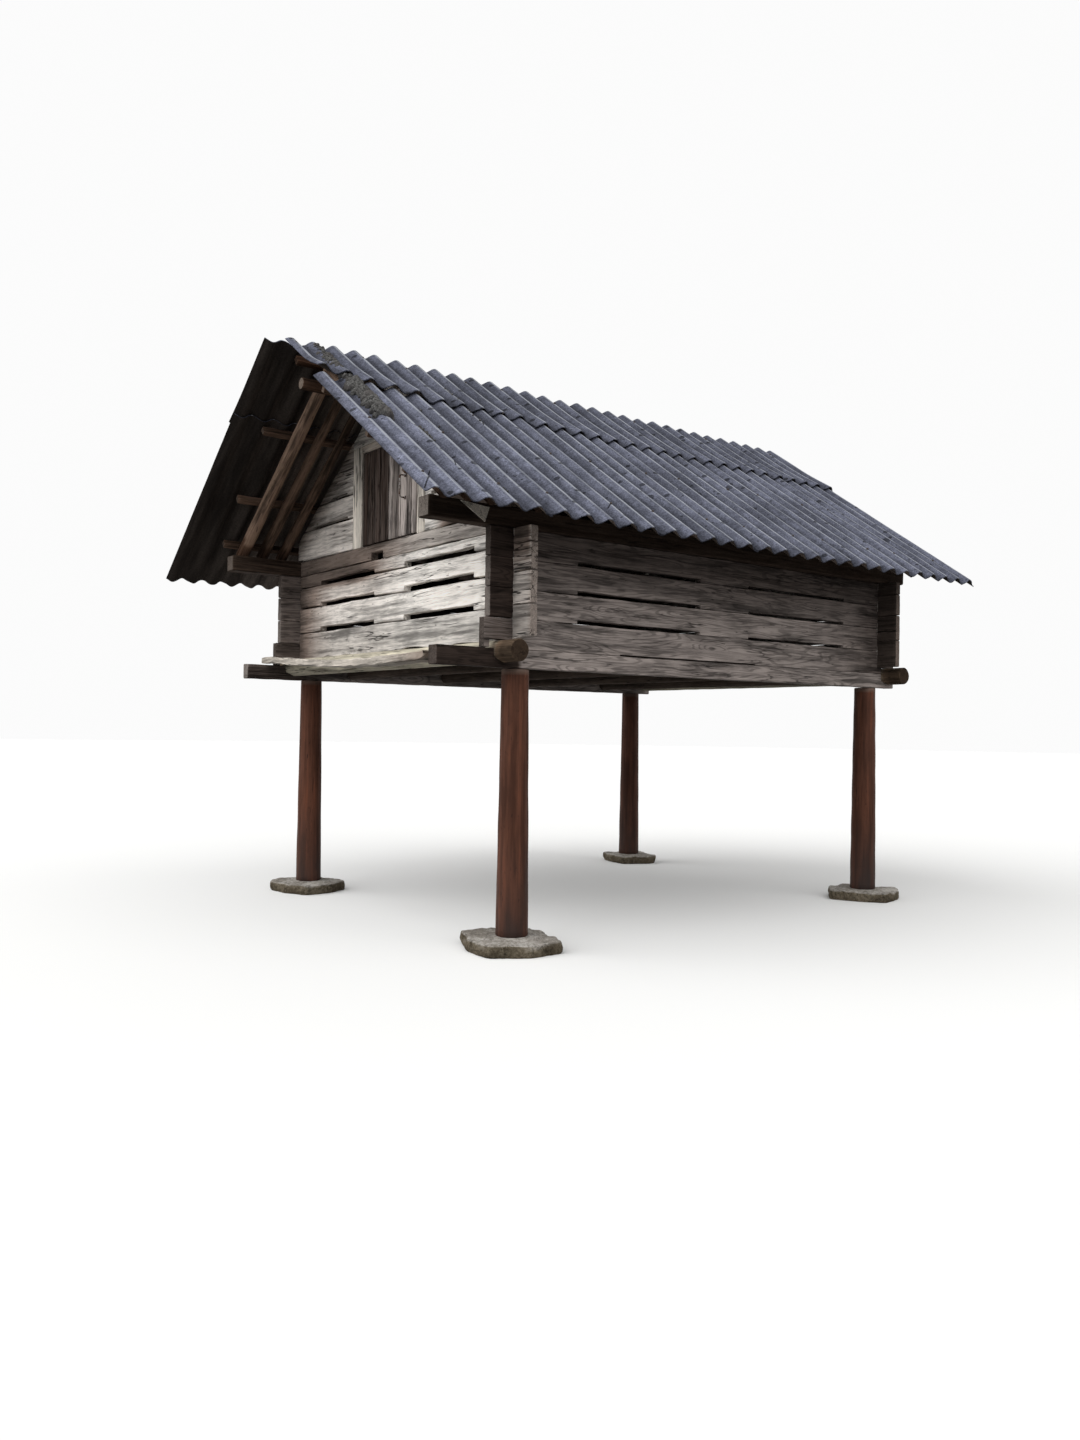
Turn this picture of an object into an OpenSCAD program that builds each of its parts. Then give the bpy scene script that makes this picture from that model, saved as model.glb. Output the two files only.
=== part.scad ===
// Raised granary: a box of hewn planks with a hatch in its gable, on four timber posts
// that stand on flat stones, under a roof of corrugated sheets.
// Millimetres, +Z up. The hatch gable faces -Y, the ridge runs along Y. The origin lies on
// the ground under the middle of the roof.

/* [Stones and posts] */
// Height of the flat stones under the posts
stone_h = 100; // [60:5:200]
// Length of the longest stone
stone_len = 780; // [600:10:900]
// Length of the posts
post_h = 1970; // [1200:10:2500]
// Diameter of a post at its foot
post_foot_d = 245; // [180:5:320]
// Diameter of a post at its head
post_head_d = 205; // [150:5:280]
// Distance from the walls' outer faces in to the middle of a post
post_inset = 110; // [80:5:200]

/* [Floor frame] */
// Height of the sills, the lowest timbers of the side walls
sill_h = 140; // [100:5:220]
// Width of the sills
sill_w = 110; // [80:5:200]
// How far the right sill runs out in front of the gable
bearer_run_right = 650; // [450:10:900]
// How far the left sill runs out in front of the gable
bearer_run_left = 550; // [450:10:900]
// Diameter of the round beams that cross the sills
cross_beam_d = 165; // [120:5:200]
// Diameter of the floor joists
joist_d = 130; // [90:5:160]
// Thickness of the floor boards
floor_t = 60; // [30:5:80]
// Width of the loose board that lies on the front ends of the sills
ledge_w = 220; // [150:10:300]
// Thickness of the loose board
ledge_t = 55; // [25:5:60]
// How far the loose board lies out of square
ledge_turn = 4.4; // [0:0.2:6]

/* [Walls] */
// Width of the gable, over the side walls' outer faces
wall_w = 3620; // [3000:20:4200]
// Length of the side walls
wall_l = 4510; // [3800:20:5200]
// How far the walls stand behind the middle of the roof
wall_back = 300; // [200:10:350]
// Thickness of the wall planks
plank_t = 70; // [50:5:100]
// How far the planks run on past the corners
corner_run = 205; // [180:5:300]
// Height of each plank of the side walls
side_course_h = 221; // [190:1:260]
// Height of the gable's lowest plank
gable_course_1_h = 258; // [200:1:300]
// Height of the gable's second plank
gable_course_2_h = 242; // [200:1:300]
// Height of the gable's third plank
gable_course_3_h = 203; // [180:1:240]
// Height of the beam that ties the gable at the foot of the roof
tie_beam_h = 141; // [100:1:200]

/* [Air slots] */
// Height of the slots cut along the joints
slot_h = 45; // [20:1:70]
// Distance from a gable's edge to its first slot
gable_slot_margin = 510; // [400:10:700]
// Distance between the two slots of a gable joint
gable_slot_gap = 510; // [300:10:700]
// Distance from a side wall's end to its first slot
side_slot_margin = 610; // [400:10:800]
// Distance between the two slots of a side wall joint
side_slot_gap = 600; // [300:10:800]
// Width of the single notch under the front tie beam
notch_w = 212; // [100:2:400]
// Height of that notch
notch_h = 66; // [30:2:90]
// How far the notch's middle lies off the gable's middle
notch_off = -212; // [-400:2:400]

/* [Hatch] */
// Width of the doorway in the gable
hatch_w = 960; // [700:10:1100]
// Height of the doorway
hatch_h = 840; // [600:10:860]
// How far the doorway's middle lies off the gable's middle
hatch_off = -37; // [-80:1:80]
// Width of the post on the hinge side of the doorway
jamb_left_w = 160; // [100:5:200]
// Width of the post on the handle side of the doorway
jamb_right_w = 122; // [80:1:160]
// Height of the piece over the doorway
lintel_h = 70; // [40:5:80]
// Thickness of the hatch's boards
hatch_t = 34; // [25:1:45]
// Diameter of the wooden pegs that the hatch turns on
hatch_peg_d = 26; // [18:1:28]
// Length of the pegs
hatch_peg_len = 40; // [25:1:55]
// Height of the iron handle
handle_h = 200; // [120:5:260]
// Diameter of the handle's rod
handle_rod_d = 12; // [8:1:16]

/* [Roof frame] */
// Width of the beams on top of the side walls that carry the rafters
plate_w = 150; // [140:5:200]
// Height of those beams
plate_h = 150; // [100:5:200]
// How far those beams run out in front of the gable
plate_front_run = 730; // [500:10:900]
// How far those beams run out behind the rear gable
plate_rear_run = 250; // [150:10:280]
// Diameter of the rafter poles
rafter_d = 120; // [80:5:150]
// Depth of the notch that seats a rafter on its beam
rafter_notch = 10; // [5:1:30]
// How far the rafters run out past the beams on the side walls
rafter_run = 90; // [60:10:300]
// Thickness of the battens under the sheets
batten_t = 70; // [40:5:90]
// Width of the battens
batten_w = 80; // [50:5:110]
// Diameter of the pole under the rafters at the ridge
ridge_pole_d = 100; // [70:5:140]

/* [Roof] */
// Pitch of the roof
roof_pitch = 34.4; // [28:0.1:40]
// How far the roof lies out of square with the walls
roof_turn = 1.4; // [0:0.1:2]
// Distance from one wave of the sheets to the next
wave_pitch = 200; // [150:1:220]
// Height of the waves
wave_h = 54; // [40:1:60]
// Thickness of the sheets
sheet_t = 8; // [6:1:12]
// Waves that each sheet covers
sheet_waves = 5; // [5:1:6]
// Sheets side by side
bays = 6; // [5:1:6]
// Length of the roof's slope, from the ridge to the eave
slope_len = 2960; // [2900:10:3100]
// Length of the upper sheets below the ridge
upper_len = 920; // [700:10:1000]
// How far the upper sheets lie over the lower ones
sheet_lap = 140; // [100:10:200]
// How far the right-hand sheets run on over the ridge
ridge_lap = 60; // [20:5:80]
// How much shorter each right-hand sheet ends at the eave than the one behind it
eave_step = 23; // [0:1:30]

/* [Hidden] */
// Clearance between curved or sheet faces that rest on each other
fit_gap = 0.3;
// Clearance round the hatch
swing_gap = 6;
// Clearance between boards or sheets that lie side by side
side_gap = 2;
// Overrun of the cuts
over = 50;
// Reach of the cutting blocks, more than any piece
reach = 9000;
// Thickness of the two cleats across the inside of the hatch, and their height
cleat_t = 28;
cleat_h = 90;
// Thickness of the hinge stile, and its width
stile_t = 60;
stile_w = 70;
// How far the handle stands off the hatch, and its distance from the free edge
handle_off = 55;
handle_edge = 190;
// Corner radius where the handle's rod bends
handle_bend_r = 24;
// Width of the ends of the handle that are beaten flat, and their thickness
handle_foot_w = 26;
handle_foot_t = 5;
// Height of a course of the boards over the tie beam
gable_board_h = 290;
gable_board_next_h = 218;
// Slots between those boards: their lengths as shares of the room between jamb and roof, their
// height, and their distance from the jambs
gable_board_slot_shares = [0.74, 0.46];
gable_board_slot_h = 25;
gable_board_slot_in = 85;
// Distance of the battens from the ridge, down the slope
batten_lower_s = 1650;
batten_ridge_s = 20;
// Distance of the lowest battens from the rafters' ends
batten_end_in = 10;
// Distance of the rafters in front of the gable from its face
front_rafter_out = 170;
front_rafter_step = 198;
front_rafters = 3;
// Distance from the gables' inner faces to the first rafters inside
inner_rafter_in = 180;
inner_rafters = 6;
// Distance of the rear rafter behind the rear gable's face
rear_rafter_out = 150;
// How far the ridge pole runs out in front of the beams on the side walls
ridge_pole_run = 80;
// Number of floor boards, of joists and of planks in a side wall
floor_boards_n = 9;
joists_n = 4;
side_courses = 4;
// Depth of the flat hewn along the joists' tops
joist_flat = 16;

sill_z = stone_h + post_h;
sill_top = sill_z + sill_h;
wall_top = sill_top + side_courses * side_course_h;
side_joints = [for (i = [0:side_courses]) sill_top + i * side_course_h];
gable_foot = sill_top + floor_t;
gable_joints = [
    gable_foot,
    gable_foot + gable_course_1_h,
    gable_foot + gable_course_1_h + gable_course_2_h,
    gable_foot + gable_course_1_h + gable_course_2_h + gable_course_3_h,
    wall_top
];
tie_top = wall_top + tie_beam_h;
plate_top = wall_top + plate_h;
plate_x = (wall_w - plank_t) / 2;
plate_front_y = wall_back - wall_l / 2 - plate_front_run;
plate_len = wall_l + plate_front_run + plate_rear_run;
roof_len = bays * sheet_waves * wave_pitch;
// Height of the rafters' top faces where the two slopes meet over the ridge
apex_z = plate_top + (rafter_d - rafter_notch) / cos(roof_pitch)
    + (plate_x + plate_w / 2) * tan(roof_pitch);
// Length of a rafter, down the slope from the ridge
rafter_len = (plate_x + plate_w / 2 + rafter_run) / cos(roof_pitch);
lower_sheet_h = batten_t;
upper_sheet_h = batten_t + sheet_t + fit_gap;
sheet_h = wave_h + sheet_t;
cross_beam_z = gable_foot - cross_beam_d / 2;
cross_bed_z = sill_z + sill_h / 2;
front_y = -wall_l / 2;
hatch_low_x = hatch_off - hatch_w / 2;
hatch_top = tie_top + hatch_h;
hinge_x = hatch_low_x + swing_gap + stile_w / 2;
hinge_y = front_y + stile_t / 2;
wood = "tan";
old_wood = "dimgray";

// Frames: the walls' middle, the turned roof, and the top plane of the rafters on one slope

module in_walls() {
    translate([0, wall_back, 0]) children();
}

module in_roof() {
    rotate([0, 0, -roof_turn]) children();
}

module flip_x(side) {
    mirror([side < 0 ? 1 : 0, 0, 0]) children();
}

module flip_y(end) {
    mirror([0, end > 0 ? 1 : 0, 0]) children();
}

// On a slope, X runs down from the ridge, Y along it and Z square out of the roof
module on_slope(side) {
    flip_x(side) translate([0, 0, apex_z]) rotate([0, roof_pitch, 0]) children();
}

module block(low, high) {
    translate(low) cube(high - low);
}

// Stones and posts

module pad_stone(turn, share) {
    long_side = stone_len * share;
    corner_shares = [
        [-0.50, -0.22], [-0.38, -0.44], [0.10, -0.46], [0.42, -0.36],
        [0.50, 0.05], [0.36, 0.42], [-0.08, 0.40], [-0.44, 0.30]
    ];
    rotate([0, 0, turn])
        linear_extrude(height = stone_h)
            polygon([for (c = corner_shares) long_side * c]);
}

module pad_stones() {
    turns = [12, -20, 160, 200];
    size_shares = [0.88, 1, 0.82, 0.88];
    color("lightgray") in_walls()
        for (i = [0:3])
            translate([
                (i % 2 == 0 ? -1 : 1) * (wall_w / 2 - post_inset),
                (i < 2 ? -1 : 1) * (wall_l / 2 - post_inset),
                0
            ]) pad_stone(turns[i], size_shares[i]);
}

module post(side, end) {
    color("sienna") in_walls()
        translate([side * (wall_w / 2 - post_inset), end * (wall_l / 2 - post_inset), stone_h])
            cylinder(h = post_h, d1 = post_foot_d, d2 = post_head_d, $fn = 48);
}

// Floor frame

module sill(side, run) {
    color(old_wood) in_walls() flip_x(side) difference() {
        block([wall_w / 2 - sill_w, front_y - run, sill_z],
            [wall_w / 2, wall_l / 2 + corner_run, sill_top]);
        for (end = [-1, 1]) flip_y(end)
            block([wall_w / 2 - sill_w - over, front_y - cross_beam_d, cross_bed_z],
                [wall_w / 2 + over, front_y, sill_top + over]);
    }
}

module cross_beams() {
    color(old_wood) in_walls() for (end = [-1, 1]) flip_y(end) difference() {
        translate([-wall_w / 2 - corner_run, front_y - cross_beam_d / 2, cross_beam_z])
            rotate([0, 90, 0]) cylinder(h = wall_w + 2 * corner_run, d = cross_beam_d, $fn = 48);
        for (side = [-1, 1]) flip_x(side)
            block([wall_w / 2 - sill_w, front_y - cross_beam_d - over, sill_z - over],
                [wall_w / 2, front_y + over, cross_bed_z]);
    }
}

module floor_joists() {
    span = wall_l / joists_n;
    half = wall_w / 2 - sill_w;
    color(old_wood) in_walls() for (i = [0:joists_n - 1])
        translate([-half, front_y + (i + 0.5) * span, sill_top - joist_d / 2 + joist_flat])
            difference() {
                rotate([0, 90, 0]) cylinder(h = 2 * half, d = joist_d, $fn = 48);
                translate([-over, -joist_d, joist_d / 2 - joist_flat])
                    cube([2 * half + 2 * over, 2 * joist_d, joist_d]);
            }
}

module floor_boards() {
    inner = wall_w - 2 * plank_t;
    step = inner / floor_boards_n;
    color(wood) in_walls() for (i = [0:floor_boards_n - 1])
        block([-inner / 2 + i * step + side_gap / 2, front_y, sill_top],
            [-inner / 2 + (i + 1) * step - side_gap / 2, wall_l / 2, gable_foot]);
}

module ledge_board() {
    // The board's left end lies just in front of the round cross beam
    middle_y = front_y - cross_beam_d - side_gap - ledge_w / 2 - wall_w / 2 * sin(ledge_turn);
    color("lightgray") in_walls()
        translate([0, middle_y, sill_top])
            rotate([0, 0, -ledge_turn])
                translate([-wall_w / 2, -ledge_w / 2, 0]) cube([wall_w, ledge_w, ledge_t]);
}

// Walls. Where two planks cross at a corner, each keeps a neck that fills the notches of the
// other, so the planks of the two walls lie half a course apart.

function middle(a, b) = (a + b) / 2;
function side_neck(i) = [
    i == 0 ? side_joints[0] : middle(side_joints[i], gable_joints[i]),
    middle(gable_joints[i], side_joints[i + 1])
];
function gable_neck(i) = [
    middle(gable_joints[i], side_joints[i + 1]),
    i == 3 ? wall_top : middle(side_joints[i + 1], gable_joints[i + 1])
];

// The notches above and below a neck, in the column where two walls cross
module corner_notches(low, high, neck) {
    block([low[0], low[1], sill_z], [high[0], high[1], neck[0]]);
    block([low[0], low[1], neck[1]], [high[0], high[1], tie_top]);
}

module air_slots(width, margin, gap, joint) {
    slot_len = (width - 2 * margin - gap) / 2;
    for (x = [-width / 2 + margin, gap / 2])
        translate([x, -over, joint]) cube([slot_len, plank_t + 2 * over, slot_h]);
}

module gable_plank(end, i) {
    color("darkgray") in_walls() flip_y(end) difference() {
        block([-wall_w / 2 - corner_run, front_y, gable_joints[i]],
            [wall_w / 2 + corner_run, front_y + plank_t, gable_joints[i + 1]]);
        for (side = [-1, 1]) flip_x(side)
            corner_notches([wall_w / 2 - plank_t, front_y - over],
                [wall_w / 2, front_y + plank_t + over], gable_neck(i));
        if (i > 0)
            translate([0, front_y, 0])
                air_slots(wall_w, gable_slot_margin, gable_slot_gap, gable_joints[i]);
    }
}

module side_plank(side, i) {
    color("gray") in_walls() flip_x(side) difference() {
        block([wall_w / 2 - plank_t, front_y - corner_run, side_joints[i]],
            [wall_w / 2, wall_l / 2 + corner_run, side_joints[i + 1]]);
        for (end = [-1, 1]) flip_y(end) {
            corner_notches([wall_w / 2 - plank_t - over, front_y],
                [wall_w / 2 + over, front_y + plank_t], side_neck(i));
            // The lowest plank sits over the round cross beams
            if (i == 0)
                block([wall_w / 2 - plank_t - over, front_y - corner_run - over, sill_z],
                    [wall_w / 2 + over, front_y, gable_foot]);
        }
        if (i > 0)
            translate([wall_w / 2, 0, 0]) rotate([0, 0, 90])
                air_slots(wall_l, side_slot_margin, side_slot_gap, side_joints[i]);
    }
}

module tie_beam(end) {
    color("gray") difference() {
        in_walls() flip_y(end)
            block([-wall_w / 2, front_y, wall_top], [wall_w / 2, front_y + plank_t, tie_top]);
        in_roof() for (side = [-1, 1]) flip_x(side)
            block([plate_x - plate_w / 2, -reach / 2, wall_top - over],
                [plate_x + wall_w, reach / 2, tie_top + over]);
        if (end < 0) {
            hatch_peg_hole();
            in_walls() block([notch_off - notch_w / 2, front_y - over, wall_top - over],
                [notch_off + notch_w / 2, front_y + plank_t + over, wall_top + notch_h]);
        }
    }
}

// Gables over the tie beams

module over_rafters() {
    in_roof() for (side = [-1, 1]) on_slope(side)
        translate([-reach / 2, -reach / 2, 0]) cube(reach);
}

module gable_sheet(end, low_x, high_x, low_z) {
    difference() {
        in_walls() flip_y(end)
            block([low_x, front_y, low_z], [high_x, front_y + plank_t, apex_z]);
        over_rafters();
        in_roof() for (side = [-1, 1]) flip_x(side)
            block([plate_x - plate_w / 2, -reach / 2, wall_top],
                [plate_x + wall_w, reach / 2, plate_top]);
        ridge_pole_round(fit_gap);
    }
}

// Half the gable's width at a height, up to the rafters' top faces
function gable_reach(z) = (apex_z - z) / tan(roof_pitch);

module gable_slots(end, side, edge_x) {
    low_x = edge_x + gable_board_slot_in;
    joints = [tie_top + gable_board_h, tie_top + gable_board_h + gable_board_next_h];
    in_walls() flip_y(end) flip_x(side) for (i = [0:1]) {
        high_z = joints[i] + gable_board_slot_h;
        room = gable_reach(high_z) - low_x;
        block([low_x, front_y - over, joints[i]],
            [low_x + room * gable_board_slot_shares[i], front_y + plank_t + over, high_z]);
    }
}

module front_gable_left() {
    color("gray") difference() {
        gable_sheet(-1, -wall_w / 2, hatch_low_x - jamb_left_w, tie_top);
        gable_slots(-1, -1, jamb_left_w - hatch_low_x);
    }
}

module front_gable_right() {
    color("gray") difference() {
        gable_sheet(-1, hatch_low_x + hatch_w + jamb_right_w, wall_w / 2, tie_top);
        gable_slots(-1, 1, hatch_low_x + hatch_w + jamb_right_w);
    }
}

module front_gable_top() {
    color("gray")
        gable_sheet(-1, hatch_low_x - jamb_left_w, hatch_low_x + hatch_w + jamb_right_w,
            hatch_top + lintel_h);
}

module rear_gable_boards() {
    color("gray") difference() {
        gable_sheet(1, -wall_w / 2, wall_w / 2, tie_top);
        for (side = [-1, 1]) gable_slots(1, side, jamb_left_w - hatch_low_x);
    }
}

// Hatch

module hatch_frame() {
    color("lightgray") difference() {
        in_walls() {
            block([hatch_low_x - jamb_left_w, front_y, tie_top],
                [hatch_low_x, front_y + plank_t, hatch_top + lintel_h]);
            block([hatch_low_x + hatch_w, front_y, tie_top],
                [hatch_low_x + hatch_w + jamb_right_w, front_y + plank_t, hatch_top + lintel_h]);
            block([hatch_low_x - jamb_left_w, front_y, hatch_top],
                [hatch_low_x + hatch_w + jamb_right_w, front_y + plank_t, hatch_top + lintel_h]);
        }
        over_rafters();
        hatch_peg_hole();
    }
}

// The hole that takes the pegs, through the tie beam's top and the lintel's underside
module hatch_peg_hole() {
    in_walls() translate([hinge_x, hinge_y, tie_top - hatch_peg_len])
        cylinder(h = hatch_h + 2 * hatch_peg_len, d = hatch_peg_d + 2 * fit_gap, $fn = 32);
}

module hatch_door() {
    low_x = hatch_low_x + swing_gap;
    high_x = hatch_low_x + hatch_w - swing_gap;
    low_z = tie_top + swing_gap;
    high_z = hatch_top - swing_gap;
    color("dimgray") in_walls() {
        // Boards
        block([low_x + stile_w, front_y, low_z], [high_x, front_y + hatch_t, high_z]);
        // Cleats
        for (z = [low_z + cleat_h, high_z - 2 * cleat_h])
            block([low_x + stile_w, front_y + hatch_t, z],
                [high_x - swing_gap - cleat_t, front_y + hatch_t + cleat_t, z + cleat_h]);
        // Hinge stile, rounded about the pegs so that it turns inside its jamb
        translate([hinge_x, hinge_y, low_z])
            cylinder(h = high_z - low_z, d = stile_t, $fn = 48);
        block([hinge_x, front_y, low_z], [low_x + stile_w, front_y + stile_t, high_z]);
        translate([hinge_x, hinge_y, tie_top - hatch_peg_len + fit_gap])
            cylinder(h = hatch_h + 2 * (hatch_peg_len - fit_gap), d = hatch_peg_d, $fn = 32);
    }
}

module handle_foot(z) {
    translate([-handle_foot_w / 2, -handle_foot_t, z - handle_foot_w / 2])
        cube([handle_foot_w, handle_foot_t, handle_foot_w]);
}

module handle_corner(z, end) {
    translate([0, -handle_off + handle_bend_r, z])
        mirror([0, 0, end < 0 ? 1 : 0]) rotate([90, 0, -90])
            rotate_extrude(angle = 90, $fn = 48)
                translate([handle_bend_r, 0]) circle(d = handle_rod_d, $fn = 24);
}

module hatch_handle() {
    x = hatch_low_x + hatch_w - handle_edge;
    z = tie_top + hatch_h / 2;
    half = handle_h / 2 - handle_rod_d / 2;
    arm = handle_off - handle_bend_r;
    color("silver") in_walls() translate([x, front_y, z]) {
        translate([0, -handle_off, -half + handle_bend_r])
            cylinder(h = 2 * (half - handle_bend_r), d = handle_rod_d, $fn = 24);
        for (e = [-1, 1]) {
            translate([0, 0, e * half]) rotate([90, 0, 0])
                cylinder(h = arm, d = handle_rod_d, $fn = 24);
            handle_foot(e * half);
            handle_corner(e * (half - handle_bend_r), e);
        }
    }
}

// Roof frame

module wall_plate(side) {
    color(old_wood) in_roof() flip_x(side) block(
        [plate_x - plate_w / 2, plate_front_y, wall_top + fit_gap],
        [plate_x + plate_w / 2, plate_front_y + plate_len, plate_top]);
}

module rafter(side, y) {
    difference() {
        on_slope(side) translate([-rafter_d, y, -rafter_d / 2])
            rotate([0, 90, 0]) cylinder(h = rafter_len + rafter_d, d = rafter_d, $fn = 40);
        // Cut plumb where the two rafters of a pair meet
        flip_x(side) block([-reach, y - rafter_d, 0], [fit_gap, y + rafter_d, apex_z + reach]);
        // Notch over the beam on the side wall
        flip_x(side) block([plate_x - plate_w / 2, y - rafter_d, wall_top],
            [plate_x + plate_w / 2, y + rafter_d, plate_top]);
    }
}

function inner_rafter_y(i) = wall_back - wall_l / 2 + plank_t + inner_rafter_in
    + i * (wall_l - 2 * plank_t - 2 * inner_rafter_in) / (inner_rafters - 1);
function rafter_ys() = concat(
    [for (i = [0:front_rafters - 1])
        wall_back - wall_l / 2 - front_rafter_out - i * front_rafter_step],
    [for (i = [0:inner_rafters - 1]) inner_rafter_y(i)],
    [wall_back + wall_l / 2 + rear_rafter_out]
);

module rafters() {
    color("saddlebrown") in_roof()
        for (y = rafter_ys(), side = [-1, 1]) rafter(side, y);
}

module battens() {
    lap_s = upper_len - sheet_lap / 2 - batten_w / 2;
    batten_eave_s = rafter_len - batten_end_in - batten_w;
    color("saddlebrown") in_roof() for (side = [-1, 1]) on_slope(side) {
        for (s = [lap_s, batten_lower_s, batten_eave_s])
            block([s, -roof_len / 2 + side_gap, 0],
                [s + batten_w, roof_len / 2 - side_gap, batten_t]);
        block([batten_ridge_s, -roof_len / 2 + side_gap, 0],
            [batten_ridge_s + batten_w, roof_len / 2 - side_gap, upper_sheet_h - fit_gap]);
    }
}

// The pole under the rafters, or with a clearance the hole that it takes through the gables
module ridge_pole_round(clearance) {
    drop = (rafter_d + ridge_pole_d / 2 + fit_gap) / cos(roof_pitch);
    in_roof() translate([0, plate_front_y - ridge_pole_run, apex_z - drop])
        rotate([-90, 0, 0])
            cylinder(h = plate_len + ridge_pole_run, d = ridge_pole_d + 2 * clearance, $fn = 40);
}

module ridge_pole() {
    color("saddlebrown") ridge_pole_round(0);
}

// Roof sheets

function wave_z(y) = wave_h * (1 - cos(360 * y / wave_pitch)) / 2;

module sheet(waves, length) {
    steps = 8;
    width = waves * wave_pitch - side_gap;
    count = waves * steps;
    ys = [for (i = [0:count]) side_gap / 2 + i * width / count];
    rotate([90, 0, 90]) linear_extrude(height = length) polygon(concat(
        [for (i = [0:count]) [ys[i], wave_z(ys[i])]],
        [for (i = [count:-1:0]) [ys[i], wave_z(ys[i]) + sheet_t]]
    ));
}

module sheet_row(side, low_s, high_s, h, step) {
    color("slategray") in_roof() on_slope(side)
        for (i = [0:bays - 1])
            translate([low_s, -roof_len / 2 + i * sheet_waves * wave_pitch, h])
                sheet(sheet_waves, high_s - (bays - 1 - i) * step - low_s);
}

module lower_sheets(side) {
    sheet_row(side, upper_len - sheet_lap, slope_len, lower_sheet_h, side < 0 ? 0 : eave_step);
}

module upper_sheets(side) {
    // The left-hand sheets end just under the right-hand ones
    left_s = ((upper_sheet_h + sheet_h) * cos(2 * roof_pitch) - upper_sheet_h)
        / sin(2 * roof_pitch) + side_gap;
    right_s = -upper_sheet_h * tan(roof_pitch) - ridge_lap;
    sheet_row(side, side < 0 ? left_s : right_s, upper_len, upper_sheet_h, 0);
}

pad_stones();
post(-1, -1);  // post_front_left
post(1, -1);  // post_front_right
post(-1, 1);  // post_rear_left
post(1, 1);  // post_rear_right
sill(-1, bearer_run_left);  // sill_left
sill(1, bearer_run_right);  // sill_right
cross_beams();
floor_joists();
floor_boards();
ledge_board();
gable_plank(-1, 0);  // front_plank_1
gable_plank(-1, 1);  // front_plank_2
gable_plank(-1, 2);  // front_plank_3
gable_plank(-1, 3);  // front_plank_4
gable_plank(1, 0);  // rear_plank_1
gable_plank(1, 1);  // rear_plank_2
gable_plank(1, 2);  // rear_plank_3
gable_plank(1, 3);  // rear_plank_4
side_plank(-1, 0);  // left_plank_1
side_plank(-1, 1);  // left_plank_2
side_plank(-1, 2);  // left_plank_3
side_plank(-1, 3);  // left_plank_4
side_plank(1, 0);  // right_plank_1
side_plank(1, 1);  // right_plank_2
side_plank(1, 2);  // right_plank_3
side_plank(1, 3);  // right_plank_4
tie_beam(-1);  // front_tie_beam
tie_beam(1);  // rear_tie_beam
wall_plate(-1);  // wall_plate_left
wall_plate(1);  // wall_plate_right
front_gable_left();
front_gable_right();
front_gable_top();
rear_gable_boards();
hatch_frame();
hatch_door();
hatch_handle();
rafters();
battens();
ridge_pole();
lower_sheets(-1);  // lower_sheets_left
lower_sheets(1);  // lower_sheets_right
upper_sheets(-1);  // upper_sheets_left
upper_sheets(1);  // upper_sheets_right
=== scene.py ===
"""Raised granary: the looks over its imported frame.

The timber is swept in rings that are worn at the corners and dented by the axe. The sheets of the
roof, their nails and the moss are grown by Geometry Nodes. Metres; the hatch gable faces -Y and
the ridge runs along Y.
"""

import math

import bpy
import numpy as np
from bpy.props import FloatProperty, FloatVectorProperty, IntProperty, PointerProperty
from mathutils import Matrix, Vector


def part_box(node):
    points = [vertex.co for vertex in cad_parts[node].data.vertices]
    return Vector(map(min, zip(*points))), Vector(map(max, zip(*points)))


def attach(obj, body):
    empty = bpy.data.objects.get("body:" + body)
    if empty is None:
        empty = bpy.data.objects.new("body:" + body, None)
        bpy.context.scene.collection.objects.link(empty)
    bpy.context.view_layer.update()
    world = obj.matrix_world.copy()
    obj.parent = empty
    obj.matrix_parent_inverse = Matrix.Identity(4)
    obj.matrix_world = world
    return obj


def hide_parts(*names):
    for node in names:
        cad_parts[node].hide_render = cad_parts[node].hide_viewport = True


bl_info = {
    "name": "Raised granary",
    "version": (1, 0, 0),
    "blender": (4, 5, 0),
    "location": "View3D > Sidebar > Granary",
    "description": "Hewn timber, corrugated sheets and moss for a granary on four posts",
    "category": "Object",
}

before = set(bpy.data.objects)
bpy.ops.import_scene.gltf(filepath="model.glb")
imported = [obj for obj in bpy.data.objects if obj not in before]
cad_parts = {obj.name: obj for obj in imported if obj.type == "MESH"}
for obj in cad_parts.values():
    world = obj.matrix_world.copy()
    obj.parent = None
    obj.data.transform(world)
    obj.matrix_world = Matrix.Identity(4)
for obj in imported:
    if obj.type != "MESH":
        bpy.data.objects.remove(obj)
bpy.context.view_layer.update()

# Sizes that the frame's boxes don't give
APEX_Z = 4.644
PITCH = math.radians(34.4)
TURN = math.radians(1.4)
WAVE_PITCH = 0.2
WAVE_HEIGHT = 0.054
SIDE_JOINTS = (2.210, 2.431, 2.652, 2.873, 3.094)
GABLE_JOINTS = (2.270, 2.528, 2.770, 2.973, 3.094)
TIE_TOP = 3.235
WALL_X = 1.81
PLANK = 0.07
FRONT_Y = -1.955
REAR_Y = 2.555
HATCH = (-0.517, 0.443, 3.235, 4.075)
HINGE = (-0.476, -1.925)
BOARD_JOINTS = (3.235, 3.525, 3.743, 3.985, 4.215, 4.44, 4.625)
RAFTER_LEN = 2.350
BATTEN_EAVE = 2.260
RAFTER_Y = (-2.521, -2.323, -2.125, -1.705, -0.903, -0.101, 0.701, 1.503, 2.305, 2.705)
# The camera: its place, its yaw, pitch and roll in degrees, and its focal length in the pixels
# of a picture 1440 high
CAMERA_PLACE = (8.107, -6.579, 1.646)
CAMERA_ANGLES = (52.183, 0.354, 0.773)
FOCAL_PIXELS = 1073.77
PICTURE_PIXELS = 1440.0


# Trees of nodes

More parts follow.
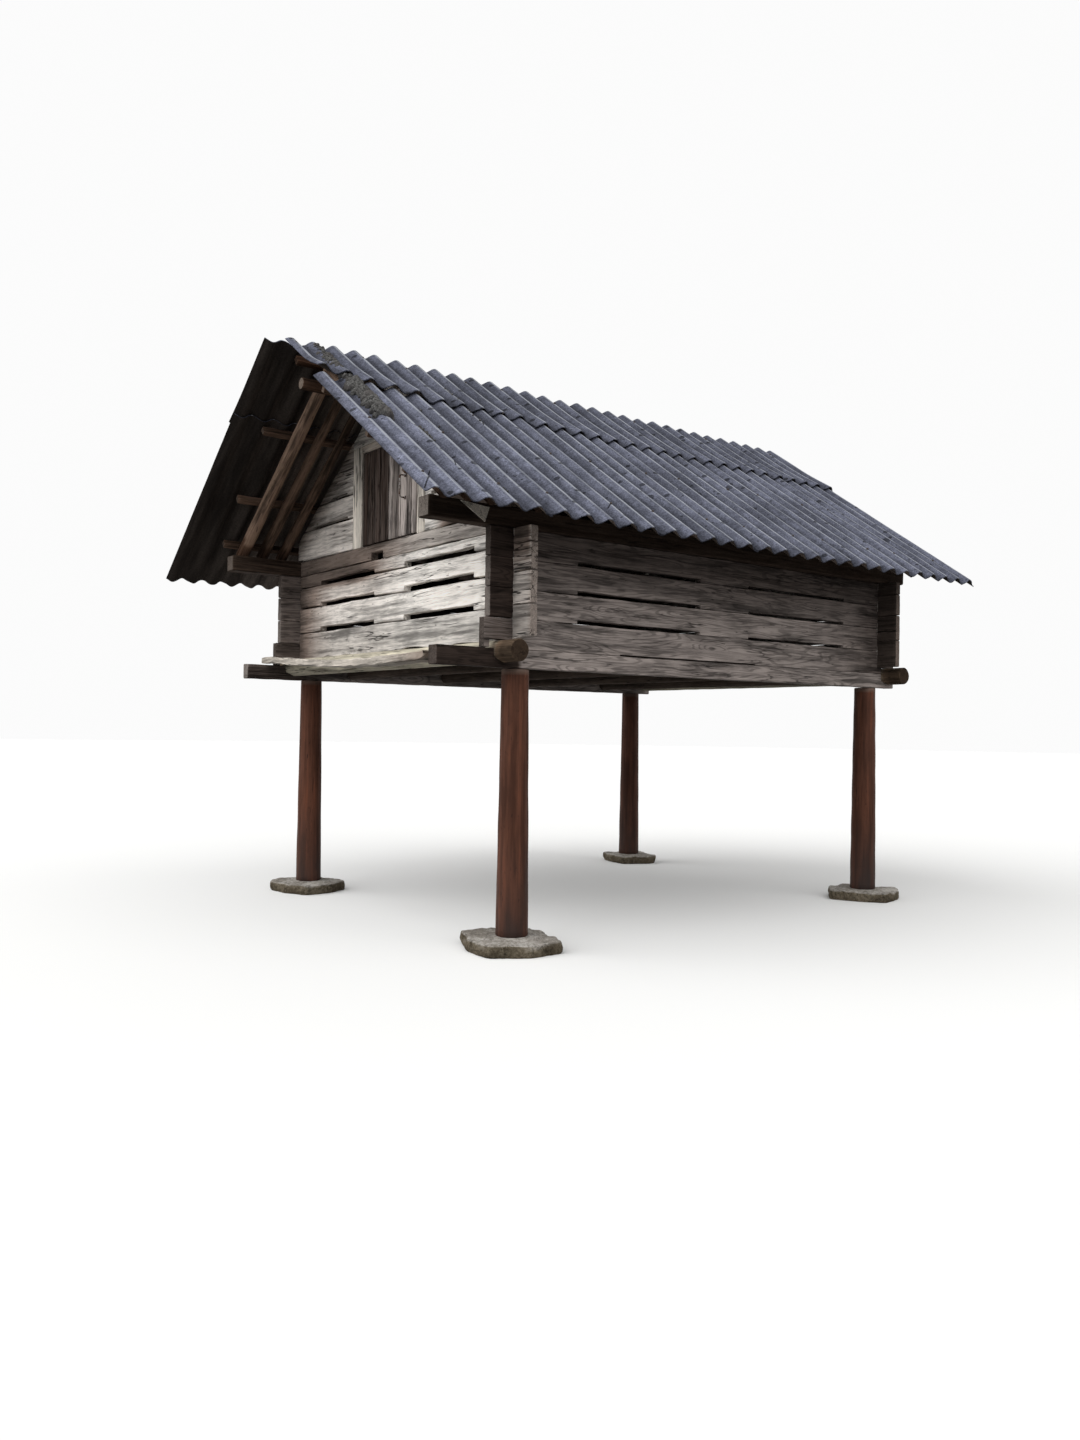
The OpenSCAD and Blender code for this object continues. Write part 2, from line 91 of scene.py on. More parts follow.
class Tree:
    """Fills a shader or geometry tree, one node a call."""

    def __init__(self, tree):
        self.tree = tree

    def add(self, kind, values=None, out=0, **settings):
        node = self.tree.nodes.new(kind)
        for key, value in settings.items():
            setattr(node, key, value)
        for key, value in (values or {}).items():
            if isinstance(value, bpy.types.NodeSocket):
                self.tree.links.new(value, node.inputs[key])
            else:
                node.inputs[key].default_value = value
        return node.outputs[out] if len(node.outputs) else node

    def math(self, operation, *values):
        return self.add("ShaderNodeMath", dict(enumerate(values)), operation=operation)

    def vector(self, operation, *values, out=0):
        return self.add("ShaderNodeVectorMath", dict(enumerate(values)), out=out,
                        operation=operation)

    def ease(self, value, low, high, to_low=0.0, to_high=1.0):
        return self.add("ShaderNodeMapRange", {0: value, 1: low, 2: high, 3: to_low, 4: to_high},
                        interpolation_type="SMOOTHSTEP")

    def noise(self, vector, scale=1.0, detail=2.0, rough=0.5, out=0):
        return self.add("ShaderNodeTexNoise", {"Vector": vector, "Scale": scale, "Detail": detail,
                                               "Roughness": rough}, out=out)

    def stretch(self, vector, scale, place=(0.0, 0.0, 0.0)):
        return self.add("ShaderNodeMapping", {"Vector": vector, "Scale": scale,
                                              "Location": place})

    def blend(self, factor, low, high, mode="MIX"):
        low, high = (v if isinstance(v, bpy.types.NodeSocket) else tuple(v)[:3] + (1.0,)
                     for v in (low, high))
        return self.add("ShaderNodeMix", {0: factor, 6: low, 7: high}, out=2,
                        data_type="RGBA", blend_type=mode, clamp_factor=True)

    def scaled(self, colour, factor):
        node = self.tree.nodes.new("ShaderNodeVectorMath")
        node.operation = "SCALE"
        self.tree.links.new(colour, node.inputs[0])
        if isinstance(factor, bpy.types.NodeSocket):
            self.tree.links.new(factor, node.inputs["Scale"])
        else:
            node.inputs["Scale"].default_value = factor
        return node.outputs[0]

    def read(self, name, out="Fac"):
        return self.add("ShaderNodeAttribute", out=out, attribute_name=name)


def new_finish(name):
    """An empty material with its tree, and the surface that it ends in."""
    material = bpy.data.materials.new(name)
    material.use_nodes = True
    material.node_tree.nodes.clear()
    tree = Tree(material.node_tree)
    surface = material.node_tree.nodes.new("ShaderNodeBsdfPrincipled")
    end = material.node_tree.nodes.new("ShaderNodeOutputMaterial")
    material.node_tree.links.new(surface.outputs[0], end.inputs[0])
    return material, tree, surface


def close_finish(tree, surface, colour, rough, height, depth, strength):
    link = tree.tree.links.new
    link(colour, surface.inputs["Base Color"])
    link(rough, surface.inputs["Roughness"])
    bump = tree.add("ShaderNodeBump", {"Height": height, "Distance": depth, "Strength": strength})
    link(bump, surface.inputs["Normal"])


def wood_finish(name, light, dark, soak_and_shade, figure=0.5, crack=0.6, adze=0.3, knots=0.5,
                contrast=1.0, end=None):
    """Weathered timber: fibres, growth lines, cracks, knots, axe marks, stained places and painted
    shade.
    """
    material, t, surface = new_finish(name)
    surface.inputs["Specular IOR Level"].default_value = 0.05
    grain = t.read("grain", "Vector")
    drift = t.vector("SUBTRACT", t.noise(t.stretch(grain, (1.1, 4.0, 4.0)), 1.0, 2.0, 0.5, out=1),
                     (0.5, 0.5, 0.5))
    bent = t.vector("ADD", grain, t.vector("MULTIPLY", drift, (0.0, 0.05, 0.05)))

    fibre = t.noise(t.stretch(bent, (1.7, 48.0, 48.0)), 1.0, 6.0, 0.66)
    streak = t.noise(t.stretch(bent, (1.1, 17.0, 17.0), (6.0, 4.0, 2.0)), 1.0, 4.0, 0.6)
    hair = t.noise(t.stretch(bent, (9.0, 260.0, 260.0)), 1.0, 2.0, 0.5)
    patch = t.noise(t.stretch(grain, (1.5, 6.5, 6.5), (3.1, 7.7, 1.3)), 1.0, 4.0, 0.62)
    marks = t.noise(t.stretch(grain, (8.0, 3.0, 3.0), (5.0, 1.0, 2.0)), 1.0, 2.0, 0.5)
    pock = t.noise(t.stretch(grain, (9.0, 34.0, 34.0), (8.0, 3.0, 5.0)), 1.0, 2.0, 0.5)

    # Knots: some cells of a stretched pattern, with the growth lines bent round them
    cells = t.add("ShaderNodeTexVoronoi", {"Vector": t.stretch(bent, (1.5, 4.2, 4.2)),
                                           "Scale": 1.0, "Randomness": 0.9})
    pick = t.math("GREATER_THAN", t.add("ShaderNodeSeparateColor",
                                        {0: cells.node.outputs[1]}), 1.0 - 0.55 * knots)
    knot = t.math("MULTIPLY", t.ease(cells, 0.10, 0.035), pick)
    halo = t.math("MULTIPLY", t.ease(cells, 0.42, 0.02), pick)

    growth = t.noise(t.stretch(bent, (0.5, 7.0, 7.0), (9.0, 2.0, 4.0)), 1.0, 2.0, 0.45)
    phase = t.math("ADD", t.math("MULTIPLY", growth, 120.0), t.math("MULTIPLY", halo, 16.0))
    line = t.ease(t.math("SINE", phase), 0.15, 1.0)

    split = t.noise(t.stretch(bent, (0.75, 15.0, 15.0), (1.0, 8.0, 3.0)), 1.0, 3.0, 0.55)
    near = t.math("ABSOLUTE", t.math("SUBTRACT", split, 0.5))
    where = t.ease(t.noise(t.stretch(grain, (1.0, 5.0, 5.0), (2.0, 3.0, 9.0)), 1.0, 2.0, 0.5),
                   0.46, 0.60)
    gap = t.math("MULTIPLY", t.ease(near, 0.020, 0.004), where)

    weight = t.math("ADD", t.math("MULTIPLY", t.math("ADD", fibre, streak), 0.42),
                    t.math("ADD", t.math("MULTIPLY", patch, 0.40),
                           t.math("MULTIPLY", t.math("SUBTRACT", hair, 0.5), 0.25)))
    spread = 0.13 / contrast
    base = t.blend(t.ease(weight, 0.60 - spread, 0.60 + spread), dark, light)
    base = t.scaled(base, t.ease(streak, 0.30, 0.52, 1.0 - 0.30 * contrast, 1.0))
    base = t.scaled(base, t.ease(t.read("tone"), 0.0, 1.0, 0.72, 1.28))
    base = t.scaled(base, t.ease(marks, 0.30, 0.70, 1.0 - 0.25 * adze, 1.0 + 0.15 * adze))
    base = t.scaled(base, t.ease(pock, 0.68, 0.76, 1.0, 0.40))
    base = t.scaled(base, t.ease(line, 0.0, 1.0, 1.0, 1.0 - 0.42 * figure))
    base = t.scaled(base, t.ease(knot, 0.0, 1.0, 1.0, 0.42))

    # Worn corners are a little paler. Soaked places, and places darkened as painted shade, turn
    # brown and dark
    worn = t.math("MULTIPLY", t.read("edge"), t.ease(patch, 0.40, 0.60))
    base = t.scaled(base, t.ease(worn, 0.0, 1.0, 1.0, 1.22))
    soak_and_shade_share = t.math("MULTIPLY", t.read("soak_and_shade"), t.ease(fibre, 0.25, 0.60, 1.0, 0.78))
    base = t.blend(soak_and_shade_share, base, t.blend(1.0, base, soak_and_shade, "MULTIPLY"))
    # Over 1 the wood darkens towards black: painted shade in most places, deep stain in some
    base = t.scaled(base, t.ease(t.read("soak_and_shade"), 1.0, 2.0, 1.0, 0.3))

    # Sawn or axed ends show rings and short radial splits
    ends = t.read("cut")
    end = end or tuple(0.9 * c for c in light)
    rings = t.noise(t.stretch(grain, (0.0, 30.0, 30.0)), 1.0, 4.0, 0.6)
    end_tone = t.blend(t.ease(t.math("SINE", t.math("MULTIPLY", rings, 46.0)), -0.6, 0.9),
                       tuple(0.6 * c for c in end), end)
    base = t.blend(t.math("MULTIPLY", ends, 0.75), base,
                   t.blend(t.read("soak_and_shade"), end_tone, t.blend(1.0, end_tone, soak_and_shade, "MULTIPLY")))
    base = t.scaled(base, t.ease(gap, 0.0, 1.0, 1.0, 1.0 - 0.85 * min(crack, 1.0)))

    height = t.math("ADD", t.math("MULTIPLY", t.math("ADD", fibre, streak), 0.6),
                    t.math("MULTIPLY", gap, -1.3 * crack))
    height = t.math("ADD", height, t.math("MULTIPLY", line, -0.22 * figure))
    height = t.math("ADD", height, t.math("MULTIPLY", marks, 0.9 * adze))
    height = t.math("ADD", height, t.math("MULTIPLY", knot, 0.35))
    height = t.math("ADD", height, t.math("MULTIPLY", hair, 0.12))
    close_finish(t, surface, base, t.ease(fibre, 0.3, 0.7, 0.94, 0.78), height, 0.006, 0.55)
    return material


def post_finish(name, light, dark, foot):
    """A debarked post: smooth, reddish, streaked downwards, dark towards its foot."""
    material, t, surface = new_finish(name)
    surface.inputs["Specular IOR Level"].default_value = 0.12
    grain = t.read("grain", "Vector")
    streak = t.noise(t.stretch(grain, (1.3, 30.0, 30.0)), 1.0, 5.0, 0.62)
    patch = t.noise(t.stretch(grain, (1.6, 7.0, 7.0), (4.0, 1.0, 6.0)), 1.0, 3.0, 0.6)
    fleck = t.noise(t.stretch(grain, (26.0, 60.0, 60.0)), 1.0, 2.0, 0.5)
    weight = t.math("ADD", t.math("MULTIPLY", streak, 0.6), t.math("MULTIPLY", patch, 0.5))
    base = t.blend(t.ease(weight, 0.42, 0.68), dark, light)
    warm = t.math("MULTIPLY", t.ease(streak, 0.54, 0.70), t.ease(patch, 0.45, 0.65))
    base = t.blend(t.math("MULTIPLY", warm, 0.5), base, (0.21, 0.062, 0.028))
    base = t.scaled(base, t.ease(fleck, 0.62, 0.76, 1.0, 0.62))
    split = t.noise(t.stretch(grain, (0.6, 22.0, 22.0), (3.0, 5.0, 1.0)), 1.0, 2.0, 0.5)
    gap = t.math("MULTIPLY", t.ease(t.math("ABSOLUTE", t.math("SUBTRACT", split, 0.5)),
                                    0.010, 0.002), t.ease(patch, 0.50, 0.62))
    base = t.scaled(base, t.ease(gap, 0.0, 1.0, 1.0, 0.35))
    base = t.scaled(base, t.ease(t.read("tone"), 0.0, 1.0, 0.7, 1.3))
    damp = t.math("MULTIPLY", t.read("soak_and_shade"), t.ease(patch, 0.25, 0.65, 1.0, 0.55))
    base = t.blend(damp, base, foot)
    pale = t.blend(0.6, light, (0.30, 0.25, 0.21))
    base = t.blend(t.math("MULTIPLY", t.read("edge"), 0.7), base, pale)
    height = t.math("ADD", t.math("MULTIPLY", streak, 0.7),
                    t.math("ADD", t.math("MULTIPLY", gap, -1.0),
                           t.math("MULTIPLY", fleck, 0.15)))
    close_finish(t, surface, base, t.ease(streak, 0.3, 0.7, 0.72, 0.5), height, 0.004, 0.4)
    return material


def stone_finish(name, pale, dark):
    """A flat field stone: coarse grey, paler on top, darker and browner on the sides, with darker
    pits and seams.
    """
    material, t, surface = new_finish(name)
    surface.inputs["Specular IOR Level"].default_value = 0.06
    place = t.add("ShaderNodeTexCoord", out="Object")
    broad = t.noise(place, 3.5, 4.0, 0.6)
    grit = t.noise(place, 38.0, 6.0, 0.7)
    speck = t.noise(place, 170.0, 2.0, 0.5)
    pits = t.add("ShaderNodeTexVoronoi", {"Vector": place, "Scale": 34.0, "Randomness": 1.0})
    seam = t.math("ABSOLUTE", t.math("SUBTRACT", t.noise(place, 5.0, 5.0, 0.6), 0.5))
    up = t.add("ShaderNodeSeparateXYZ", {0: t.add("ShaderNodeNewGeometry", out="Normal")},
               out=2)
    mix = t.math("ADD", t.math("MULTIPLY", grit, 0.6), t.math("MULTIPLY", broad, 0.5))
    base = t.blend(t.ease(mix, 0.44, 0.68), dark, pale)
    base = t.blend(t.ease(up, 0.2, 0.9), t.blend(1.0, base, (0.40, 0.355, 0.28), "MULTIPLY"),
                   t.scaled(base, 1.05))
    base = t.scaled(base, t.ease(speck, 0.35, 0.70, 0.85, 1.15))
    base = t.scaled(base, t.ease(pits, 0.0, 0.25, 0.62, 1.0))
    base = t.scaled(base, t.ease(seam, 0.0, 0.02, 0.55, 1.0))
    height = t.math("ADD", grit, t.math("MULTIPLY", t.ease(pits, 0.0, 0.25), 0.4))
    height = t.math("ADD", height, t.math("MULTIPLY", t.ease(seam, 0.0, 0.03), 0.5))
    close_finish(t, surface, base, t.ease(grit, 0.3, 0.7, 0.95, 0.8), height, 0.012, 0.7)
    return material


def iron_finish(name, colour):
    """Bare iron rod, rubbed bright where it is held, brown with rust elsewhere."""
    material, t, surface = new_finish(name)
    surface.inputs["Metallic"].default_value = 0.75
    place = t.add("ShaderNodeTexCoord", out="Object")
    rust = t.noise(place, 55.0, 4.0, 0.65)
    pits = t.noise(place, 300.0, 3.0, 0.6)
    base = t.blend(t.ease(rust, 0.42, 0.60), (0.10, 0.052, 0.034), colour)
    base = t.scaled(base, t.ease(pits, 0.3, 0.7, 0.75, 1.15))
    close_finish(t, surface, base, t.ease(rust, 0.4, 0.6, 0.8, 0.42), pits, 0.001, 0.5)
    return material


def sheet_finish(name, colour, splits=()):
    """Fibre cement: speckled blue grey, with painted shade in the valleys and a painted highlight
    over the crests, lichen spots and splits.

    The pattern lies on the flat sheet: x runs down the slope, y along the ridge.
    """
    material, t, surface = new_finish(name)
    surface.inputs["Specular IOR Level"].default_value = 0.10
    flat = t.read("sheet", "Vector")
    x = t.add("ShaderNodeSeparateXYZ", {0: flat})
    y = x.node.outputs[1]
    phase = t.math("MULTIPLY", y, 2.0 * math.pi / WAVE_PITCH)
    crest = t.math("SUBTRACT", 0.5, t.math("MULTIPLY", t.math("COSINE", phase), 0.5))
    cloud = t.noise(t.stretch(flat, (1.3, 2.2, 1.0)), 1.0, 4.0, 0.6)
    run = t.noise(t.stretch(flat, (1.6, 26.0, 1.0), (2.0, 5.0, 0.0)), 1.0, 4.0, 0.6)
    speck = t.noise(flat, 95.0, 4.0, 0.7)
    bloom = t.noise(flat, 16.0, 4.0, 0.65)
    base = t.blend(t.ease(t.math("ADD", t.math("MULTIPLY", cloud, 0.5),
                                 t.math("MULTIPLY", run, 0.5)), 0.36, 0.64),
                   tuple(0.66 * c for c in colour), tuple(1.30 * c for c in colour))
    base = t.scaled(base, t.ease(speck, 0.34, 0.68, 0.62, 1.40))
    base = t.scaled(base, t.ease(bloom, 0.35, 0.68, 0.80, 1.20))
    # Painted shade in the valleys and a painted highlight over the crests
    base = t.scaled(base, t.ease(crest, 0.05, 0.80, 0.48, 1.13))
    # Paler down the slope and towards the front
    base = t.scaled(base, t.ease(x, 0.5, 1.2, 0.80, 1.0))
    base = t.scaled(base, t.ease(y, -2.7, -1.2, 1.35, 1.0))
    line = t.math("MULTIPLY", t.ease(crest, 0.955, 0.995), t.ease(run, 0.36, 0.58, 0.35, 1.0))
    base = t.blend(t.math("MULTIPLY", line, 0.72), base, (0.36, 0.375, 0.405))

    # Lichen: a few large dark spots with a paler rim, many small ones
    large = t.add("ShaderNodeTexVoronoi", {"Vector": t.stretch(flat, (3.1, 4.6, 1.0)),
                                           "Scale": 1.0, "Randomness": 1.0})
    some = t.math("GREATER_THAN", t.add("ShaderNodeSeparateColor",
                                        {0: large.node.outputs[1]}), 0.62)
    frayed = t.math("ADD", large, t.math("MULTIPLY", t.math("SUBTRACT", speck, 0.5), 0.10))
    rim = t.math("MULTIPLY", t.ease(frayed, 0.20, 0.15), some)
    spot = t.math("MULTIPLY", t.ease(frayed, 0.135, 0.09), some)
    small = t.add("ShaderNodeTexVoronoi", {"Vector": flat, "Scale": 8.5, "Randomness": 1.0})
    few = t.math("GREATER_THAN", t.add("ShaderNodeSeparateColor",
                                       {0: small.node.outputs[1]}), 0.45)
    dots = t.math("MULTIPLY", t.ease(small, 0.22, 0.15), few)
    fine = t.add("ShaderNodeTexVoronoi", {"Vector": flat, "Scale": 19.0, "Randomness": 1.0})
    dots = t.math("MAXIMUM", dots, t.math("MULTIPLY", t.ease(fine, 0.21, 0.13),
                                          t.ease(bloom, 0.48, 0.60)))
    base = t.scaled(base, t.ease(rim, 0.0, 1.0, 1.0, 1.10))
    base = t.scaled(base, t.ease(spot, 0.0, 1.0, 1.0, 0.34))
    base = t.scaled(base, t.ease(dots, 0.0, 1.0, 1.0, 0.30))

    height = t.math("ADD", t.math("MULTIPLY", speck, 0.6), t.math("MULTIPLY", spot, 0.8))
    for start, end in splits:
        start, end = Vector(start), Vector(end)
        way = end - start
        here = t.vector("SUBTRACT", t.vector("MULTIPLY", flat, (1.0, 1.0, 0.0)), start)
        share = t.math("DIVIDE", t.vector("DOT_PRODUCT", here, way, out=1), way.length_squared)
        share = t.add("ShaderNodeClamp", {0: share})
        foot = t.scaled(t.add("ShaderNodeCombineXYZ", dict(enumerate(way))), share)
        off = t.vector("LENGTH", t.vector("SUBTRACT", here, foot), out=1)
        off = t.math("ADD", off, t.math("MULTIPLY", t.math("SUBTRACT", bloom, 0.5), 0.012))
        mark = t.ease(off, 0.006, 0.003)
        base = t.scaled(base, t.ease(mark, 0.0, 1.0, 1.0, 0.16))
        height = t.math("SUBTRACT", height, t.math("MULTIPLY", mark, 1.5))
    close_finish(t, surface, base, t.ease(speck, 0.3, 0.7, 0.92, 0.72), height, 0.004, 0.5)
    return material


def underside_finish(name, colour):
    """The sheets' underside: brown-black, with long stains down the slope."""
    material, t, surface = new_finish(name)
    surface.inputs["Specular IOR Level"].default_value = 0.03
    flat = t.read("sheet", "Vector")
    run = t.noise(t.stretch(flat, (0.9, 9.0, 1.0), (7.0, 3.0, 0.0)), 1.0, 4.0, 0.6)
    speck = t.noise(flat, 70.0, 4.0, 0.7)
    base = t.blend(t.ease(run, 0.35, 0.68), tuple(0.55 * c for c in colour),
                   tuple(1.5 * c for c in colour))
    base = t.scaled(base, t.ease(speck, 0.3, 0.7, 0.75, 1.25))
    # Nearly black towards the verges: painted shade under the overhangs
    away = t.math("ABSOLUTE", t.add("ShaderNodeSeparateXYZ", {0: flat}, out=1))
    base = t.scaled(base, t.ease(away, 1.9, 2.8, 1.0, 0.18))
    close_finish(t, surface, base, t.ease(speck, 0.3, 0.7, 0.95, 0.85), speck, 0.004, 0.4)
    return material


def moss_finish(name, colour):
    """Dry grey-green moss with brown tips."""
    material, t, surface = new_finish(name)
    surface.inputs["Specular IOR Level"].default_value = 0.1
    place = t.add("ShaderNodeTexCoord", out="Object")
    tuft = t.noise(place, 60.0, 4.0, 0.7)
    broad = t.noise(place, 9.0, 2.0, 0.5)
    base = t.blend(t.ease(tuft, 0.35, 0.65), tuple(0.25 * c for c in colour), colour)
    base = t.blend(t.ease(broad, 0.45, 0.65), base, (0.085, 0.079, 0.076))
    close_finish(t, surface, base, t.ease(tuft, 0.3, 0.7, 1.0, 0.9), tuft, 0.01, 0.8)
    return material


def nail_finish(name):
    """Rusted nail heads."""
    material, t, surface = new_finish(name)
    surface.inputs["Metallic"].default_value = 0.4
    place = t.add("ShaderNodeTexCoord", out="Object")
    rust = t.noise(place, 180.0, 3.0, 0.6)
    base = t.blend(t.ease(rust, 0.35, 0.65), (0.018, 0.015, 0.016), (0.075, 0.055, 0.048))
    close_finish(t, surface, base, t.ease(rust, 0.3, 0.7, 0.9, 0.7), rust, 0.001, 0.4)
    return material


# Places: how a timber's own length, thickness and height lie in the model

def along(order):
    """Puts a timber's (u, v, w) on the model's axes, named in that order."""
    columns = ["xyz".index(letter) for letter in order]

    def place(points):
        turned = np.empty_like(points)
        turned[:, columns] = points
        return turned
    return place


def turned_roof(points):
    """From the roof's own frame to the model's."""
    cos, sin = math.cos(TURN), math.sin(TURN)
    x, y, z = points.T
    return np.stack([x * cos + y * sin, -x * sin + y * cos, z], axis=1)


def on_slope(side, order="syh"):
    """Puts (u, v, w) on a slope: s runs down from the ridge, y along it, h square out."""
    columns = ["syh".index(letter) for letter in order]

    def place(points):
        ordered = np.empty_like(points)
        ordered[:, columns] = points
        s, y, h = ordered.T
        x = side * (s * math.cos(PITCH) + h * math.sin(PITCH))
        z = APEX_Z - s * math.sin(PITCH) + h * math.cos(PITCH)
        return turned_roof(np.stack([x, y, z], axis=1))
    return place


def in_roof(order):
    first = along(order)
    return lambda points: turned_roof(first(points))


def ripple(points, seed, size, count=9):
    """Smooth noise from 0 to 1: seeded sines, each of about the given size in every axis."""
    rng = np.random.default_rng(seed)
    scaled = points / np.asarray(size)
    total = np.zeros(len(points))
    for _ in range(count):
        way = rng.normal(size=3)
        way *= 2.0 * math.pi * rng.uniform(0.45, 1.5) / np.linalg.norm(way)
        total += np.sin(scaled @ way + rng.uniform(0.0, 2.0 * math.pi))
    return 0.5 + 0.5 * np.tanh(1.2 * total / math.sqrt(count))


# Timber

class Piece:
    """Gathers the points and faces of one piece, and what its finish reads at each point."""

    def __init__(self):
        self.points, self.grain, self.tone, self.edge, self.soak_and_shade = [], [], [], [], []
        self.faces, self.cut = [], []
        self.count = 0

    def rings(self, raw, place, tone, edge, soak_and_shade, seed):
        """Adds a closed skin over rings of points: raw is (rings, points, 3) in (u, v, w).

        A soak of 0 is dry, 1 is brown with rain, and 2 is nearly black. The same value also
        carries painted shade, darkening pieces that lie in shadow.
        """
        rows, n = raw.shape[:2]
        flat = raw.reshape(-1, 3)
        points = place(flat)
        index = np.arange(rows * n).reshape(rows, n)
        nxt = np.roll(index, -1, axis=1)
        quads = np.stack([index[:-1], nxt[:-1], nxt[1:], index[1:]], axis=-1).reshape(-1, 4)
        a, b, c, d = (points[quads[:, k]] - points.mean(axis=0) for k in range(4))
        volume = np.einsum("ij,ij->", a, np.cross(b, c)) + np.einsum("ij,ij->", a,
                                                                     np.cross(c, d))
        faces = [tuple(q) for q in (quads + self.count).tolist()]
        cut = [0.0] * len(faces) + [1.0, 1.0]
        faces.append(tuple((index[0][::-1] + self.count).tolist()))
        faces.append(tuple((index[-1] + self.count).tolist()))
        if volume < 0.0:
            faces = [face[::-1] for face in faces]
        rng = np.random.default_rng(seed + 901)
        self.points.append(points)
        self.grain.append(flat + rng.uniform(-40.0, 40.0, size=3))
        self.tone.append(np.full(len(flat), tone))
        self.edge.append(np.broadcast_to(edge, (rows, n)).reshape(-1))
        self.soak_and_shade.append(np.clip(soak_and_shade(points) if callable(soak_and_shade) else
                                 np.full(len(flat), float(soak_and_shade)), 0.0, 2.0))
        self.faces += faces
        self.cut += cut
        self.count += len(flat)

    def timber(self, place, u, v, w, seed, cuts=(), step=0.045, wear=0.006, dent=0.003,
               tone=None, soak_and_shade=0.0, ends=(None, None), bow=None, size=(0.30, 0.10, 0.09),
               gape=(0.0, 0.0)):
        """A hewn timber: worn corners, dented faces, and notches where cuts narrow its height.

        Each cut is (from u, to u, lowest w, highest w). An end may be a function of w. The
        lower and the upper edge draw in by up to gape.
        """
        rng = np.random.default_rng(seed)
        tone = rng.uniform(0.25, 0.75) if tone is None else tone
        marks = sorted({u[0], u[1]} | {min(max(c[k], u[0]), u[1]) for c in cuts for k in (0, 1)})
        stations = []
        for a, b in zip(marks[:-1], marks[1:]):
            if b - a < 1e-4:
                continue
            low, high = w
            for c in cuts:
                if c[0] <= 0.5 * (a + b) <= c[1]:
                    low = low if c[2] is None else max(low, c[2])
                    high = high if c[3] is None else min(high, c[3])
            n = max(1, round((b - a) / step))
            for k in range(n + 1):
                at = a + (b - a) * k / n
                at += 0.0004 * (k == 0 and a != u[0]) - 0.0004 * (k == n and b != u[1])
                stations.append((at, low, high, 0.0))
        wear = min(wear, 0.3 * (v[1] - v[0]), 0.3 * (w[1] - w[0]))
        first, last = stations[0], stations[-1]
        stations[0] = (first[0] + wear, first[1], first[2], 0.0)
        stations[-1] = (last[0] - wear, last[1], last[2], 0.0)
        stations = [(first[0], first[1], first[2], 0.7 * wear)] + stations \
            + [(last[0], last[1], last[2], 0.7 * wear)]
        at, low, high, inset = np.array(stations).T
        nv = max(2, round((v[1] - v[0]) / 0.03))
        nw = max(2, round((w[1] - w[0]) / 0.032))
        corner = np.stack([wear * (0.5 + ripple(np.stack([at, at * 0 + k, at * 0], axis=1),
                                                seed + k, (0.22, 1.0, 1.0))) for k in range(4)])
        v0, v1 = v[0] + inset, v[1] - inset
        thin = np.stack([at, at * 0, at * 0], axis=1)
        w0 = low + inset + gape[0] * ripple(thin, seed + 31, (0.55, 1.0, 1.0)) ** 2
        w1 = high - inset - gape[1] * ripple(thin, seed + 47, (0.55, 1.0, 1.0)) ** 2

        def spread(a, b, n):
            share = np.linspace(0.0, 1.0, n + 1)
            return a[:, None] + (b - a)[:, None] * share

        def level(a, n):
            return np.repeat(a[:, None], n + 1, axis=1)
        sides = [
            (spread(v0 + corner[0], v1 - corner[1], nv), level(w0, nv), (0.0, 1.0)),
            (level(v1, nw), spread(w0 + corner[1], w1 - corner[2], nw), (-1.0, 0.0)),
            (spread(v1 - corner[2], v0 + corner[3], nv), level(w1, nv), (0.0, -1.0)),
            (level(v0, nw), spread(w1 - corner[3], w0 + corner[0], nw), (1.0, 0.0)),
        ]
        vs = np.concatenate([s[0] for s in sides], axis=1)
        ws = np.concatenate([s[1] for s in sides], axis=1)
        push = np.concatenate([np.tile(s[2], (s[0].shape[1], 1)) for s in sides])
        edge = np.concatenate([np.array([1.0] + [0.0] * (s[0].shape[1] - 2) + [1.0])
                               for s in sides])
        us = np.repeat(at[:, None], vs.shape[1], axis=1)
        raw = np.stack([us, vs, ws], axis=-1)
        depth = dent * ripple(raw.reshape(-1, 3), seed + 17, size).reshape(us.shape)
        raw[..., 1] += depth * push[:, 0]
        raw[..., 2] += depth * push[:, 1]
        share = (raw[..., 0] - u[0]) / (u[1] - u[0])
        starts = ends[0](raw[..., 2]) if ends[0] else u[0]
        stops = ends[1](raw[..., 2]) if ends[1] else u[1]
        raw[..., 0] = starts + (stops - starts) * share
        if bow:
            dv, dw = bow(raw[..., 0])
            raw[..., 1] += dv
            raw[..., 2] += dw
        self.rings(raw, place, tone, edge, soak_and_shade, seed)

    def pole(self, place, u, middle, radii, seed, step=0.06, count=28, dent=0.004, tone=None,
             soak_and_shade=0.0, clip=None, lip=0.0):
        """A round timber with a slow taper, flats and swellings, and ends cut across."""
        rng = np.random.default_rng(seed)
        tone = rng.uniform(0.3, 0.7) if tone is None else tone
        n = max(2, round((u[1] - u[0]) / step))
        at = np.linspace(u[0], u[1], n + 1)
        at = np.concatenate([[u[0]], [u[0] + 0.006], at[1:-1], [u[1] - 0.006], [u[1]]])
        inset = np.zeros(len(at))
        inset[[0, -1]] = 0.005
        share = (at - u[0]) / (u[1] - u[0])
        radius = radii[0] + (radii[1] - radii[0]) * share - inset
        turn = np.linspace(0.0, 2.0 * math.pi, count, endpoint=False)
        ring = np.stack([np.cos(turn), np.sin(turn)], axis=1)
        us = np.repeat(at[:, None], count, axis=1)
        base = np.stack([us, radius[:, None] * ring[:, 0], radius[:, None] * ring[:, 1]], -1)
        depth = dent * ripple(base.reshape(-1, 3), seed + 5, (0.35, 0.06, 0.06)
                              ).reshape(us.shape)
        factor = (radius[:, None] - depth) / radius[:, None]
        base[..., 1] *= factor
        base[..., 2] *= factor
        base[..., 1:] += middle
        if clip:
            base = clip(base)
        edge = np.zeros((len(at), count))
        if lip:
            edge[at > u[1] - lip] = 1.0
        self.rings(base, place, tone, edge, soak_and_shade, seed)

